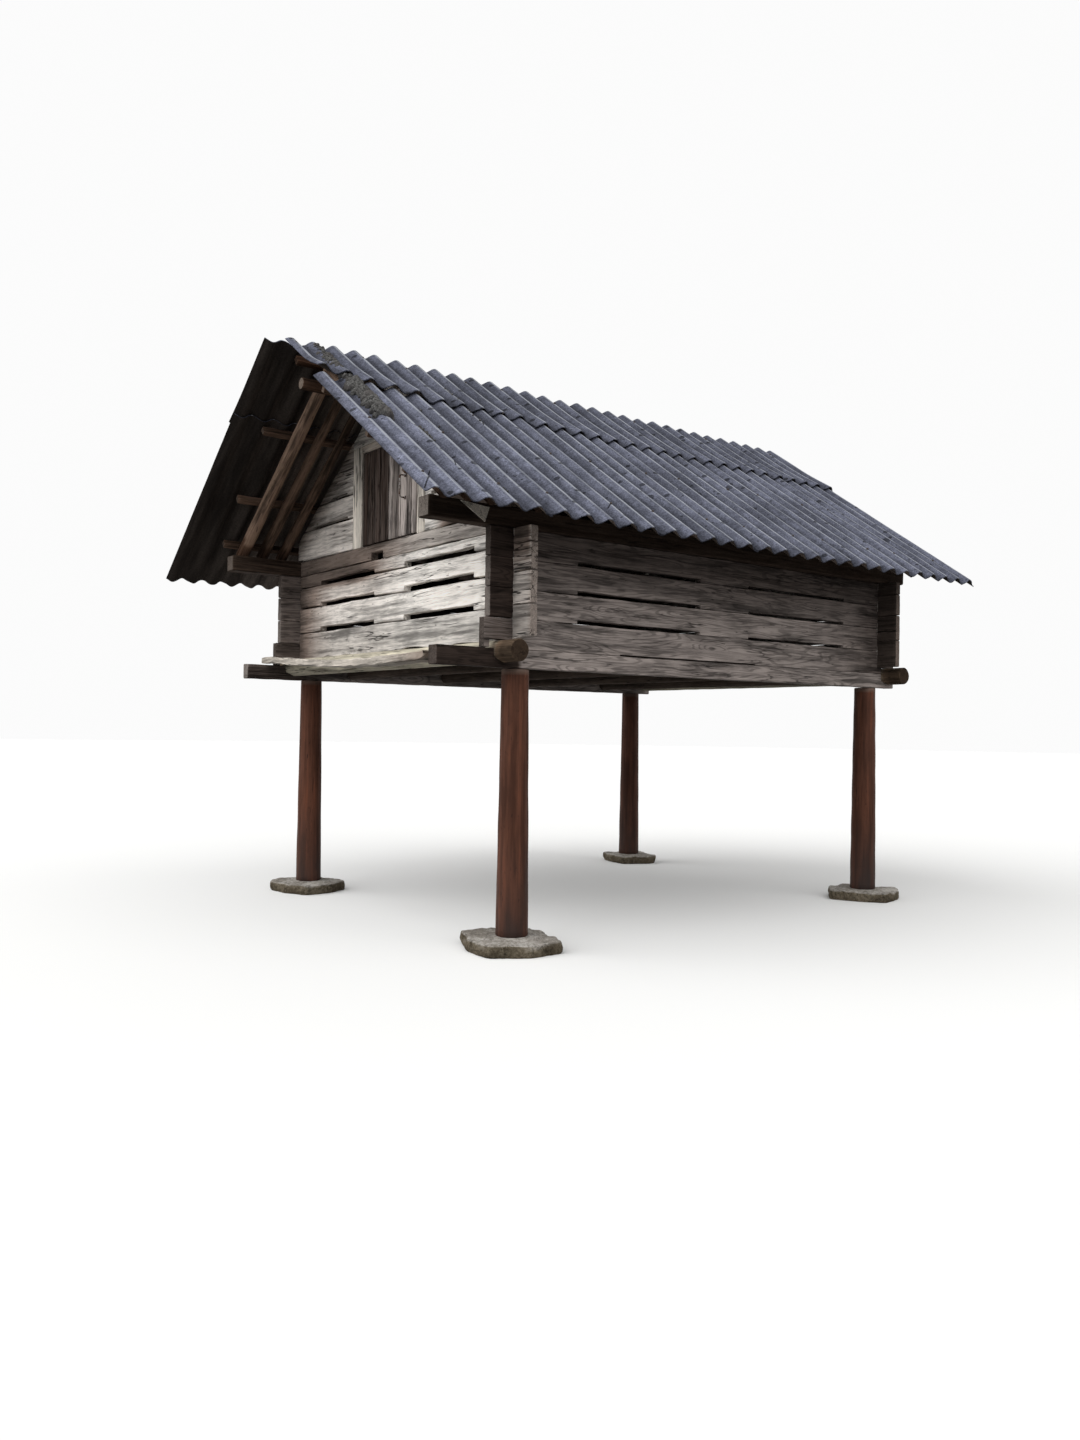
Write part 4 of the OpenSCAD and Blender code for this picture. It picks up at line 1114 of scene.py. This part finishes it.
class GRANARY_OT_walls(bpy.types.Operator):
    """Makes the planks of the four walls and the tie beams"""
    bl_idname = "granary.walls"
    bl_label = "Walls"

    def execute(self, context):
        looks = context.scene.granary_timber
        gable, side = finish_of("silver_planks"), finish_of("brown_planks")
        # The top plank of each side wall takes a low tone: painted shade under the eave, with some
        # dirt
        tones = {"front": (0.40, 0.90, 0.95, 1.0), "rear": (0.4, 0.35, 0.45, 0.3),
                 "left": (0.5, 0.45, 0.55, 0.4), "right": (0.60, 0.72, 0.50, 0.42)}
        gapes = {"front": (0.010, 0.004), "rear": (0.0, 0.001), "left": (0.0, 0.002),
                 "right": (0.004, 0.002)}
        for end, y in (("front", FRONT_Y), ("rear", REAR_Y - PLANK)):
            for i in range(4):
                low, high = GABLE_JOINTS[i], GABLE_JOINTS[i + 1]
                neck = (0.5 * (low + SIDE_JOINTS[i + 1]),
                        3.094 if i == 3 else 0.5 * (SIDE_JOINTS[i + 1] + high))
                cuts = [(-WALL_X, -1.74, *neck), (1.74, WALL_X, *neck)]
                if i:
                    gap = (0.036, 0.044) if end == "front" else (0.004, 0.004)
                    cuts += [(-1.30, -0.255, low + gap[0], None),
                             (0.255, 1.30, low + gap[1], None)]
                piece = Piece()
                crack = 0.0025 if end == "front" else 0.0
                piece.timber(along("xyz"), (-2.015, 2.015), (y, y + PLANK),
                             (low + crack, high - crack),
                             200 + 10 * i + (end == "rear"), cuts=cuts, wear=looks.wear,
                             dent=looks.dent, tone=tones[end][i],
                             gape=(0.022, 0.002) if (end, i) == ("front", 0) else gapes[end],
                             soak_and_shade=self.gable_soak_and_shade if end == "front" else self.rear_soak_and_shade)
                node = "%s_plank_%d" % (end, i + 1)
                show("hewn_" + node, piece.mesh(node), gable, (node,))
        for end, x in (("left", -WALL_X), ("right", WALL_X - PLANK)):
            for i in range(4):
                low, high = SIDE_JOINTS[i], SIDE_JOINTS[i + 1]
                neck = (low if i == 0 else 0.5 * (low + GABLE_JOINTS[i]),
                        0.5 * (GABLE_JOINTS[i] + high))
                cuts = [(FRONT_Y, FRONT_Y + PLANK, *neck), (REAR_Y - PLANK, REAR_Y, *neck)]
                if i == 0:
                    cuts += [(-2.16, FRONT_Y, 2.27, None), (REAR_Y, 2.76, 2.27, None)]
                    if end == "right":
                        cuts.append((-0.90, 0.70, low + 0.010, None))
                else:
                    gap = (0.028, 0.021) if end == "right" else (0.004, 0.004)
                    cuts += [(-1.345, 0.0, low + gap[0], None), (0.6, 1.945, low + gap[1], None)]
                piece = Piece()
                piece.timber(along("yxz"), (-2.205 if i == 0 else -2.16, 2.76), (x, x + PLANK),
                             (low, high), 300 + 10 * i + (end == "right"), cuts=cuts,
                             wear=looks.wear if i else 0.004, dent=looks.dent,
                             tone=tones[end][i], soak_and_shade=self.side_soak_and_shade,
                             gape=gapes[end] if i else (0.0, 0.002))
                node = "%s_plank_%d" % (end, i + 1)
                show("hewn_" + node, piece.mesh(node), side, (node,))
        for end, y in (("front", FRONT_Y), ("rear", REAR_Y - PLANK)):
            node = end + "_tie_beam"
            low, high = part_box(node)
            piece = Piece()
            piece.timber(along("xyz"), (low.x, high.x), (y, y + PLANK), (3.094, TIE_TOP),
                         400 + (end == "rear"), wear=looks.wear, dent=looks.dent,
                         cuts=((-0.318, -0.106, 3.160, None),) if end == "front" else (),
                         tone=0.45, gape=(0.008, 0.003),
                         soak_and_shade=self.tie_soak if end == "front" else 0.4)
            show("hewn_" + node, piece.mesh(node), gable, (node,))
        return {"FINISHED"}

    def gable_soak_and_shade(self, p):
        """Brown at the left end, under the tie beam and beyond the left corner. Beyond the right
        corner the ends get painted shade, darker towards the eave.
        """
        x, z = p[:, 0], p[:, 2]
        left = np.where(z > 2.77, 0.55, 0.25) * np.clip((0.3 - x) / 0.6, 0.0, 1.0)
        left = left + 1.25 * np.clip((-x - 1.0) / 0.7, 0.0, 1.0) ** 1.2
        top = 1.8 * np.clip((z - 2.86) / 0.12, 0.0, 1.0) * np.clip((0.35 - x) / 0.9, 0.0, 1.0)
        ends = np.where(x > WALL_X, 0.6 + 1.1 * np.clip((z - 2.75) / 0.3, 0.0, 1.0),
                        0.6 * (x < -WALL_X))
        # The sawn end of the right-hand ends lies in the corner's shadow
        ends = np.where(x > 2.008, 0.9, ends)
        return np.where(x < -WALL_X, ends, np.maximum.reduce([left, top, ends]))

    def tie_soak(self, p):
        """Browner towards the left end."""
        return np.clip(1.2 - (p[:, 0] + 0.2) / 1.3, 0.6, 1.6)

    def rear_soak_and_shade(self, p):
        # Nearly black beyond the side walls, which is painted shade; a light stain elsewhere
        return np.where(np.abs(p[:, 0]) > WALL_X, 2.0, 0.25)

    def side_soak_and_shade(self, p):
        """Painted shade, with some dirt on the top planks: dark under the eave, towards the rear
        corner and on the ends that run out.
        """
        x, y, z = p.T
        beyond = np.where(z < 2.431, 0.9, np.where(x > 0.0, 1.4, 0.6))
        beyond = beyond * ((y < FRONT_Y) | (y > REAR_Y - PLANK))
        # The upper planks' cut ends stay pale
        beyond = np.where(y < -2.157, np.where(z < 2.431, 0.8, 0.1), beyond)
        top = 0.85 * np.clip((z - 2.50) / 0.45, 0.0, 1.0) ** 1.1
        rear = 0.85 * np.clip((y - 1.5) / 0.9, 0.0, 1.0)
        front = 0.45 * np.clip((-1.3 - y) / 0.6, 0.0, 1.0) * np.clip((z - 2.4) / 0.4, 0.0, 1.0)
        return np.maximum.reduce([beyond, top, rear, front])


# Gables

def slope_x(side, y, room=0.004):
    """Where the rafters' top plane crosses a height, on one side of a gable at y."""
    shift = y * math.sin(TURN)

    def at(w):
        x = side * (APEX_Z - room - w) / math.tan(PITCH) + shift
        return np.clip(x, -WALL_X + 0.001, WALL_X - 0.001)
    return at


class GRANARY_OT_gables(bpy.types.Operator):
    """Makes the boards over the tie beams and the frame of the hatch"""
    bl_idname = "granary.gables"
    bl_label = "Gables"

    def execute(self, context):
        looks = context.scene.granary_timber
        gable = finish_of("silver_planks")
        jamb = HATCH[0] - 0.16, HATCH[1] + 0.122
        rows = (("front_gable_left", FRONT_Y, None, jamb[0], BOARD_JOINTS[:5],
                 (-1.381, -1.0), -0.762),
                ("front_gable_right", FRONT_Y, jamb[1], None, BOARD_JOINTS[:6],
                 (1.351, 0.939), 0.65))
        for n, (node, y, low_x, high_x, joints, slot_x, slot_in) in enumerate(rows):
            piece = Piece()
            for i, (low, high) in enumerate(zip(joints[:-1], joints[1:])):
                ends = (slope_x(-1, y) if low_x is None else None,
                        slope_x(1, y) if high_x is None else None)
                top = self.reach(high_x if low_x is None else low_x, y)
                high = min(high, top)
                if high - low < 0.03:
                    continue
                u = (float(ends[0](0.5 * (low + high))) if ends[0] else low_x,
                     float(ends[1](0.5 * (low + high))) if ends[1] else high_x)
                cuts = []
                if i in (1, 2):
                    a, b = sorted((slot_x[i - 1], slot_in))
                    cuts.append((a, b, low + 0.024, None))
                if i == 0:
                    cuts.append((-1.9, -1.69, 3.247, None) if n == 0
                                else (1.64, 1.9, 3.247, None))
                piece.timber(along("xyz"), u, (y, y + PLANK), (low + 0.002, high - 0.004),
                             500 + 10 * n + i, cuts=cuts, wear=looks.wear, dent=looks.dent,
                             ends=ends, tone=(0.55, 0.5, 0.4, 0.35, 0.5)[i] + 0.2 * n,
                             gape=(0.006, 0.003), soak_and_shade=self.board_soak_and_shade)
            show("sawn_" + node, piece.mesh(node), gable, (node,))
        piece = Piece()
        for i, (low, high) in enumerate(((4.145, 4.34), (4.34, 4.50), (4.50, 4.62))):
            left, right = slope_x(-1, FRONT_Y), slope_x(1, FRONT_Y)
            ends = (lambda w: np.maximum(left(w), jamb[0]), lambda w: np.minimum(right(w),
                                                                                 jamb[1]))
            middle = 0.5 * (low + high)
            piece.timber(along("xyz"), (float(ends[0](middle)), float(ends[1](middle))),
                         (FRONT_Y, FRONT_Y + PLANK), (low, high - 0.002), 530 + i,
                         wear=looks.wear, dent=looks.dent, ends=ends, tone=0.55, soak_and_shade=0.3)
        show("sawn_front_gable_top", piece.mesh("front_gable_top"), gable,
             ("front_gable_top",))
        piece = Piece()
        for i, (low, high) in enumerate(zip(BOARD_JOINTS[:-1], BOARD_JOINTS[1:])):
            y = REAR_Y - PLANK
            ends = slope_x(-1, y), slope_x(1, y)
            middle = 0.5 * (low + high)
            cuts = []
            if i in (1, 2):
                out = (1.381, 1.0)[i - 1]
                cuts = [(-out, -0.762, low + 0.024, None), (0.762, out, low + 0.024, None)]
            if i == 0:
                cuts = [(-1.9, -1.63, 3.247, None), (1.69, 1.9, 3.247, None)]
            piece.timber(along("xyz"), (float(ends[0](middle)), float(ends[1](middle))),
                         (y, REAR_Y), (low, high - 0.002), 540 + i, cuts=cuts,
                         wear=looks.wear, dent=looks.dent, ends=ends, soak_and_shade=0.3)
        show("sawn_rear_gable", piece.mesh("rear_gable_boards"), gable,
             ("rear_gable_boards",))
        self.hatch_frame(looks, jamb)
        return {"FINISHED"}

    def board_soak_and_shade(self, p):
        """Brown under the slope on the left, black low down on the right as painted shade, clean
        between.
        """
        x, z = p[:, 0], p[:, 2]
        under = (APEX_Z - z) / math.tan(PITCH) - np.abs(x)
        shade = 2.0 * np.clip((x - 0.7) / 0.25, 0.0, 1.0) * np.clip((3.6 - z) / 0.15, 0.0, 1.0)
        return np.where(x < 0.0, 0.45 + 0.6 * np.clip(1.0 - under / 0.35, 0.0, 1.0), shade)

    def reach(self, x, y):
        """How high the slope stands over a place on the gable."""
        return APEX_Z - 0.006 - abs(x - y * math.sin(TURN)) * math.tan(PITCH)

    def hatch_frame(self, looks, jamb):
        piece = Piece()
        place = along("zyx")
        y = (FRONT_Y, FRONT_Y + PLANK)
        piece.timber(place, (TIE_TOP, HATCH[3] + 0.07), y, (jamb[0], HATCH[0]), 560,
                     wear=looks.wear, dent=looks.dent, tone=0.72)
        # The right-hand jamb takes the palest tone: painted light, against the shade that the
        # verge casts on it
        piece.timber(place, (TIE_TOP, HATCH[3] + 0.07), y, (HATCH[1], jamb[1]), 561,
                     wear=looks.wear, dent=looks.dent, tone=1.0)
        piece.timber(along("xyz"), (HATCH[0] - 0.001, HATCH[1] + 0.001), y,
                     (HATCH[3], HATCH[3] + 0.07), 562, wear=looks.wear, dent=looks.dent,
                     tone=0.4, soak_and_shade=0.5)
        show("split_hatch_frame", piece.mesh("hatch_frame"), finish_of("bleached_boards"),
             ("hatch_frame",))


# Hatch

class GRANARY_OT_hatch(bpy.types.Operator):
    """Makes the boards of the hatch, its cleats and stile, and finishes the iron handle"""
    bl_idname = "granary.hatch"
    bl_label = "Hatch"

    def execute(self, context):
        finish = finish_of("hatch_boards")
        low_z, high_z = HATCH[2] + 0.006, HATCH[3] - 0.006
        edges = (-0.476, -0.405, -0.277, -0.188, -0.030, 0.039, 0.141, 0.274, 0.355, 0.437)
        tones = (0.0, 0.0, 0.1, 0.0, 0.8, 0.3, 1.0, 0.6, 1.0)
        soaks = (1.2, 1.1, 1.1, 1.1, 0.0, 0.5, 0.0, 0.3, 0.0)
        rng = np.random.default_rng(12)
        door = Piece()
        for i, (a, b) in enumerate(zip(edges[:-1], edges[1:])):
            thick = 0.06 if i == 0 else 0.034
            back = 0.0 if i in (0, 4, 8) else rng.uniform(0.0, 0.005)
            door.timber(along("zyx"), (low_z + rng.uniform(0.0, 0.008),
                                       high_z - rng.uniform(0.0, 0.012)),
                        (FRONT_Y + back, FRONT_Y + thick), (a + 0.0015, b - 0.0015), 600 + i,
                        wear=0.004, dent=0.003, tone=tones[i], soak_and_shade=soaks[i], step=0.04,
                        size=(0.3, 0.05, 0.05))
        door.pole(along("zxy"), (low_z, high_z), HINGE, (0.03, 0.03), 620, count=32,
                  dent=0.001, tone=0.25, soak_and_shade=0.9)
        for z in ((3.195, low_z + 0.01), (high_z - 0.01, 4.115)):
            door.pole(along("zxy"), z, HINGE, (0.013, 0.013), 621, count=20, dent=0.0005,
                      tone=0.4, soak_and_shade=0.3)
        for i, z in enumerate((3.331, 3.889)):
            door.timber(along("xyz"), (-0.441, 0.403), (FRONT_Y + 0.034, FRONT_Y + 0.062),
                        (z, z + 0.09), 630 + i, wear=0.004, dent=0.002, tone=0.4, soak_and_shade=0.5)
        show("boarded_hatch", door.mesh("hatch_door"), finish, ("hatch_door",), body="hatch")
        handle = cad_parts["hatch_handle"]
        handle.data.materials.clear()
        handle.data.materials.append(finish_of("bare_iron"))
        return {"FINISHED"}


# Roof frame

class GRANARY_OT_roof_frame(bpy.types.Operator):
    """Makes the beams on the side walls, the rafters, the battens and the ridge pole"""
    bl_idname = "granary.roof_frame"
    bl_label = "Roof frame"

    def execute(self, context):
        looks = context.scene.granary_timber
        beam, pole = finish_of("beam_timber"), finish_of("peeled_poles")
        for side, node in ((-1, "wall_plate_left"), (1, "wall_plate_right")):
            piece = Piece()
            x = sorted((side * 1.70, side * 1.85))
            start, end = (-2.685, -2.636) if side < 0 else (-2.625, -2.662)
            # Painted shade: the beams are darkened along their length under the eave, the right
            # one more by its lower tone; their front ends stay paler
            piece.timber(in_roof("yxz"), (start, 2.805), x, (3.0945, 3.244), 700 + side,
                         wear=0.009, dent=looks.dent, tone=0.4 if side < 0 else 0.2,
                         soak_and_shade=lambda p: np.where(p[:, 1] < end, 0.55 * (side < 0), 1.0))
            show("hewn_" + node, piece.mesh(node), beam, (node,))
        # A scrap of pale board, stuck on the right-hand beam
        piece = Piece()
        raw = np.array([[(x, y, z) for y, z in ((-2.416, 3.232), (-2.170, 3.212),
                                                (-2.207, 3.106))] for x in (1.790, 1.806)])
        piece.rings(raw, along("xyz"), 0.9, 0.0, 0.0, 705)
        show("pale_scrap", piece.mesh("scrap"), finish_of("bleached_boards"))
        piece = Piece()
        for side in (-1, 1):
            for i, y in enumerate(RAFTER_Y):
                self.rafter(piece, side, y, 710 + 20 * (side > 0) + i,
                            (0.9, 0.35, 0.3)[min(i, 2)], (0.0, 0.4, 0.5)[min(i, 2)],
                            ((0.054, 0.060), (0.034, 0.057), (0.030, 0.055))[min(i, 2)])
        show("peeled_rafters", piece.mesh("rafters", 45.0), pole, ("rafters",))
        piece = Piece()
        for side in (-1, 1):
            for i, s in enumerate((0.02, 0.81, 1.65, BATTEN_EAVE)):
                start = (-2.72, -2.90, -2.88, -2.86)[i] if side > 0 \
                    else (-2.78, -2.80, -2.76, -2.70)[i]
                piece.timber(on_slope(side, "ysh"), (start, 2.998), (s + 0.014, s + 0.066),
                             (0.0, 0.0775 if i == 0 else 0.0695), 760 + i + 10 * (side > 0),
                             wear=0.006, dent=0.004, tone=0.35, soak_and_shade=1.2 if i == 0 else 0.6)
        show("sawn_battens", piece.mesh("battens"), pole, ("battens",))
        piece = Piece()
        piece.pole(in_roof("yxz"), (-2.765, 2.805), (0.0, 4.4376), (0.05, 0.05), 790,
                   dent=0.003, tone=0.4, soak_and_shade=lambda p: np.where(p[:, 1] < -2.762, 0.2, 1.0))
        show("round_ridge_pole", piece.mesh("ridge_pole", 45.0), pole, ("ridge_pole",))
        return {"FINISHED"}

    def rafter(self, piece, side, y, seed, tone, soak_and_shade, radii):
        def clip(points):
            # Cut plumb at the ridge
            x = points[..., 0] * math.cos(PITCH) + points[..., 2] * math.sin(PITCH)
            points[..., 0] = np.where(x < 0.002, points[..., 0]
                                      + (0.002 - x) / math.cos(PITCH), points[..., 0])
            return points
        # Past the walls, under the eave, the rafters are darkened as painted shade
        piece.pole(on_slope(side), (0.0, RAFTER_LEN), (y, -0.06), radii, seed, count=28,
                   dent=0.005, tone=tone, clip=clip,
                   soak_and_shade=lambda p: np.where(np.abs(p[:, 0]) > 1.75, 1.0, soak_and_shade))


# Roof sheets

def sheet_base(name, sheets, lap):
    """Flat sheets with their ends, tilts and lifts: points are (s, y, height)."""
    points, faces = [], []
    for sheet in sheets:
        y0, y1 = sheet["y"]
        columns = round((y1 - y0) / 0.0125)
        rows = sheet["rows"]
        start = len(points)
        across = np.linspace(y0, y1, columns + 1)
        tops = np.interp(across, *sheet["top"])
        ends = np.interp(across, *sheet["end"]) + sheet["ragged"](across)
        for r in range(rows + 1):
            share = r / rows
            s = tops + (ends - tops) * share
            tilt = lap * (y1 - across) / (y1 - y0)
            h = sheet["h"] + tilt + sheet["lift"](share, across)
            points += np.stack([s, across, h], axis=1).tolist()
        for r in range(rows):
            for c in range(columns):
                a = start + r * (columns + 1) + c
                faces.append((a, a + columns + 1, a + columns + 2, a + 1))
    mesh = bpy.data.meshes.new(name)
    mesh.from_pydata(points, [], faces)
    return mesh


class GRANARY_OT_roof_sheets(bpy.types.Operator):
    """Makes the corrugated sheets, with their laps, ragged ends and sag"""
    bl_idname = "granary.roof_sheets"
    bl_label = "Roof sheets"

    def execute(self, context):
        looks = context.scene.granary_roof
        group = corrugate_group()
        eave = ([-3.0, -2.8, -2.42, -2.0, -1.999, -1.37, -1.0, -0.999, -0.64, 0.0, 0.001, 1.12,
                 2.24, 2.92, 3.0],
                [2.838, 2.843, 2.856, 2.862, 2.882, 2.905, 2.900, 2.918, 2.928, 2.930, 2.942,
                 2.952, 2.968, 2.950, 2.950])
        lap_end = ([-3.0, -2.0, -1.999, -1.0, -0.999, 0.0, 0.001, 1.0, 1.001, 2.0, 2.001, 3.0],
                   [0.75, 0.83, 0.89, 0.84, 0.94, 0.925, 0.945, 0.92, 0.94, 0.925, 0.945, 0.93])
        ridge = ([-3.0, -2.9, -2.5, -2.0, -1.999, -1.0, -0.999, 0.0, 3.0],
                 [0.0, 0.045, -0.04, -0.09, -0.05, -0.125, -0.11, -0.07, -0.08])
        for side, node_end in ((1, "right"), (-1, "left")):
            for row in ("lower", "upper"):
                sheets = [self.sheet(row, side, i, eave, lap_end, ridge) for i in range(6)]
                name = "%s_sheets_%s" % (row, node_end)
                base = sheet_base(name + "_flat", sheets, looks.lap)
                top = "split_sheet" if (row, side) == ("lower", 1) else "cement_sheet"
                mesh = grow(name, base, group, {
                    "Pitch": looks.pitch, "Height": looks.wave, "Thickness": looks.thickness,
                    "Sag": looks.sag, "Seed": 3.0 + 5.0 * (side < 0), "Ridge Height": APEX_Z,
                    "Slope": PITCH, "Turn": -TURN + (0.0 if side > 0 else math.pi),
                    "Top": finish_of(top), "Underside": finish_of("sheet_underside")})
                mesh.polygons.foreach_set("use_smooth", [True] * len(mesh.polygons))
                mesh.set_sharp_from_angle(angle=math.radians(40.0))
                show("wavy_" + name, mesh, None, (name,))
        return {"FINISHED"}

    def sheet(self, row, side, i, eave, lap_end, ridge):
        """One sheet: its edges in (s, y), where its ends lie, and how it lifts."""
        # A left-hand sheet lies half a turn round, so its y runs the other way
        rng = np.random.default_rng(50 * (row == "upper") + 7 * i + (side < 0))
        y0, y1 = -3.0 + i, -2.0 + i
        front = (i == 0) if side > 0 else (i == 5)
        wide = [y0 if i == 0 else y0 - 0.012, y1 if i == 5 else y1 + 0.018]
        if side < 0 and front:
            wide[1] += 0.065
        if row == "lower" and side > 0 and front:
            wide[0] += 0.030
        phase = rng.uniform(0.0, 6.28, 3)

        def ragged(y):
            return 0.004 * np.sin(31.0 * y + phase[0]) + 0.003 * np.sin(83.0 * y + phase[1])
        flat = lambda v: ([-4.0, 4.0], [v, v])
        clear = rng.uniform(0.0, 0.006)
        if row == "lower":
            end = eave if side > 0 else flat(2.955 + rng.uniform(-0.015, 0.005))
            return {"y": wide, "rows": 40, "top": flat(0.78), "end": end, "ragged": ragged,
                    "h": 0.0715, "lift": lambda share, y: 0.0 * y}
        if side > 0:
            if front:
                wide[0] += 0.055
            top, end = ridge, lap_end
        else:
            top = flat(-0.026)
            end = flat(0.915 + rng.uniform(-0.015, 0.015))
        kick = 0.026 if front and side > 0 else rng.uniform(0.012, 0.022)

        def lift(share, y):
            corner = np.clip((y0 + 0.5 - y) / 0.5, 0.0, 1.0) if front and side > 0 else 0.0
            return clear + (kick + 0.028 * corner) * np.clip((share - 0.55) / 0.45, 0.0, 1.0) \
                ** 1.6
        return {"y": wide, "rows": 20, "top": top, "end": end, "ragged": ragged, "h": 0.0800,
                "lift": lift}


def on_sheet(side, s, y, h=0.0):
    """A place on the top of the sheets, and the way that the slope faces."""
    base = 0.070 if s > 0.92 else 0.0783
    wave = WAVE_HEIGHT * (1.0 - math.cos(2.0 * math.pi * y / WAVE_PITCH)) / 2.0
    raw = np.array([[s, y, base + wave + 0.012 + h]])
    out = np.array([[s, y, base + wave + 1.012 + h]])
    place = on_slope(side)
    here, there = place(raw)[0], place(out)[0]
    return here, there - here


class GRANARY_OT_nails(bpy.types.Operator):
    """Puts a nail with its washer on the crests, over the battens"""
    bl_idname = "granary.nails"
    bl_label = "Nails"

    def execute(self, context):
        looks = context.scene.granary_roof
        rng = np.random.default_rng(31)
        points, sizes, facing = [], [], []
        for side in (-1, 1):
            for s in (0.13, 0.86, 1.69, 2.60):
                for k in range(30):
                    if k % 5 not in (0, 3) or rng.uniform() < 0.12:
                        continue
                    y = -2.9 + 0.2 * k
                    here, out = on_sheet(side, s + rng.uniform(-0.02, 0.02), y, 0.004)
                    points.append(here)
                    sizes.append(rng.uniform(0.85, 1.2))
                    facing.append(out)
        mesh = grow("sheet_nails", point_mesh("nail_points", points, sizes, facing),
                    scatter_group("nail_heads", False), {
                        "Width": looks.nail, "Height": 0.010, "Roughness": 0.0, "Seed": 4,
                        "Finish": finish_of("nail_rust")})
        show("sheet_nails", mesh, None)
        return {"FINISHED"}


class GRANARY_OT_moss(bpy.types.Operator):
    """Grows dry moss in the valleys near the front edge of the roof"""
    bl_idname = "granary.moss"
    bl_label = "Moss"

    def execute(self, context):
        looks = context.scene.granary_roof
        rng = np.random.default_rng(77)
        # Along the valley: from s, to s, middle y, half width, share of the tufts, size
        beds = ((0.90, 1.56, -2.69, 0.060, 0.50, 1.7), (0.30, 0.95, -2.70, 0.05, 0.24, 1.0),
                (0.06, 0.40, -2.70, 0.04, 0.10, 0.8), (1.66, 1.80, -2.43, 0.035, 0.08, 0.7),
                (0.5, 1.3, -1.7, 0.02, 0.04, 0.4), (1.0, 2.6, -2.2, 0.02, 0.06, 0.35))
        points, sizes, facing = [], [], []
        for s0, s1, y0, half, share, size in beds:
            for _ in range(int(share * looks.tufts)):
                s = rng.uniform(s0, s1)
                y = y0 + rng.normal(0.0, 0.5 * half)
                here, out = on_sheet(1, s, y, 0.002 + 0.006 * rng.uniform())
                points.append(here)
                sizes.append(size * rng.uniform(0.5, 1.25))
                facing.append(out + rng.normal(0.0, 0.25, 3))
        mesh = grow("valley_moss", point_mesh("moss_points", points, sizes, facing),
                    scatter_group("moss_tufts", True), {
                        "Width": 0.018, "Height": 0.030, "Roughness": 0.022, "Seed": 9,
                        "Finish": finish_of("dry_moss")})
        show("valley_moss", mesh, None)
        return {"FINISHED"}


class GRANARY_PT_panel(bpy.types.Panel):
    """Lists the granary's pieces and what may be changed"""
    bl_idname = "GRANARY_PT_panel"
    bl_label = "Raised granary"
    bl_space_type = "VIEW_3D"
    bl_region_type = "UI"
    bl_category = "Granary"

    def draw(self, context):
        for step in STEPS:
            self.layout.operator(step.bl_idname)
        for group in ("granary_timber", "granary_roof", "granary_stage"):
            box = self.layout.box()
            data = getattr(context.scene, group)
            for key in data.bl_rna.properties.keys():
                if key not in ("rna_type", "name"):
                    box.prop(data, key)


STEPS = (GRANARY_OT_stage, GRANARY_OT_stones, GRANARY_OT_posts, GRANARY_OT_floor_frame,
         GRANARY_OT_walls, GRANARY_OT_gables, GRANARY_OT_hatch, GRANARY_OT_roof_frame,
         GRANARY_OT_roof_sheets, GRANARY_OT_nails, GRANARY_OT_moss)
GROUPS = (GranaryTimber, GranaryRoof, GranaryStage)


def register():
    for item in GROUPS + STEPS + (GRANARY_PT_panel,):
        bpy.utils.register_class(item)
    bpy.types.Scene.granary_timber = PointerProperty(type=GranaryTimber)
    bpy.types.Scene.granary_roof = PointerProperty(type=GranaryRoof)
    bpy.types.Scene.granary_stage = PointerProperty(type=GranaryStage)


def unregister():
    for name in ("granary_timber", "granary_roof", "granary_stage"):
        delattr(bpy.types.Scene, name)
    for item in reversed(GROUPS + STEPS + (GRANARY_PT_panel,)):
        bpy.utils.unregister_class(item)


def main():
    register()
    for step in STEPS:
        area, name = step.bl_idname.split(".")
        getattr(getattr(bpy.ops, area), name)()


if __name__ == "__main__":
    main()
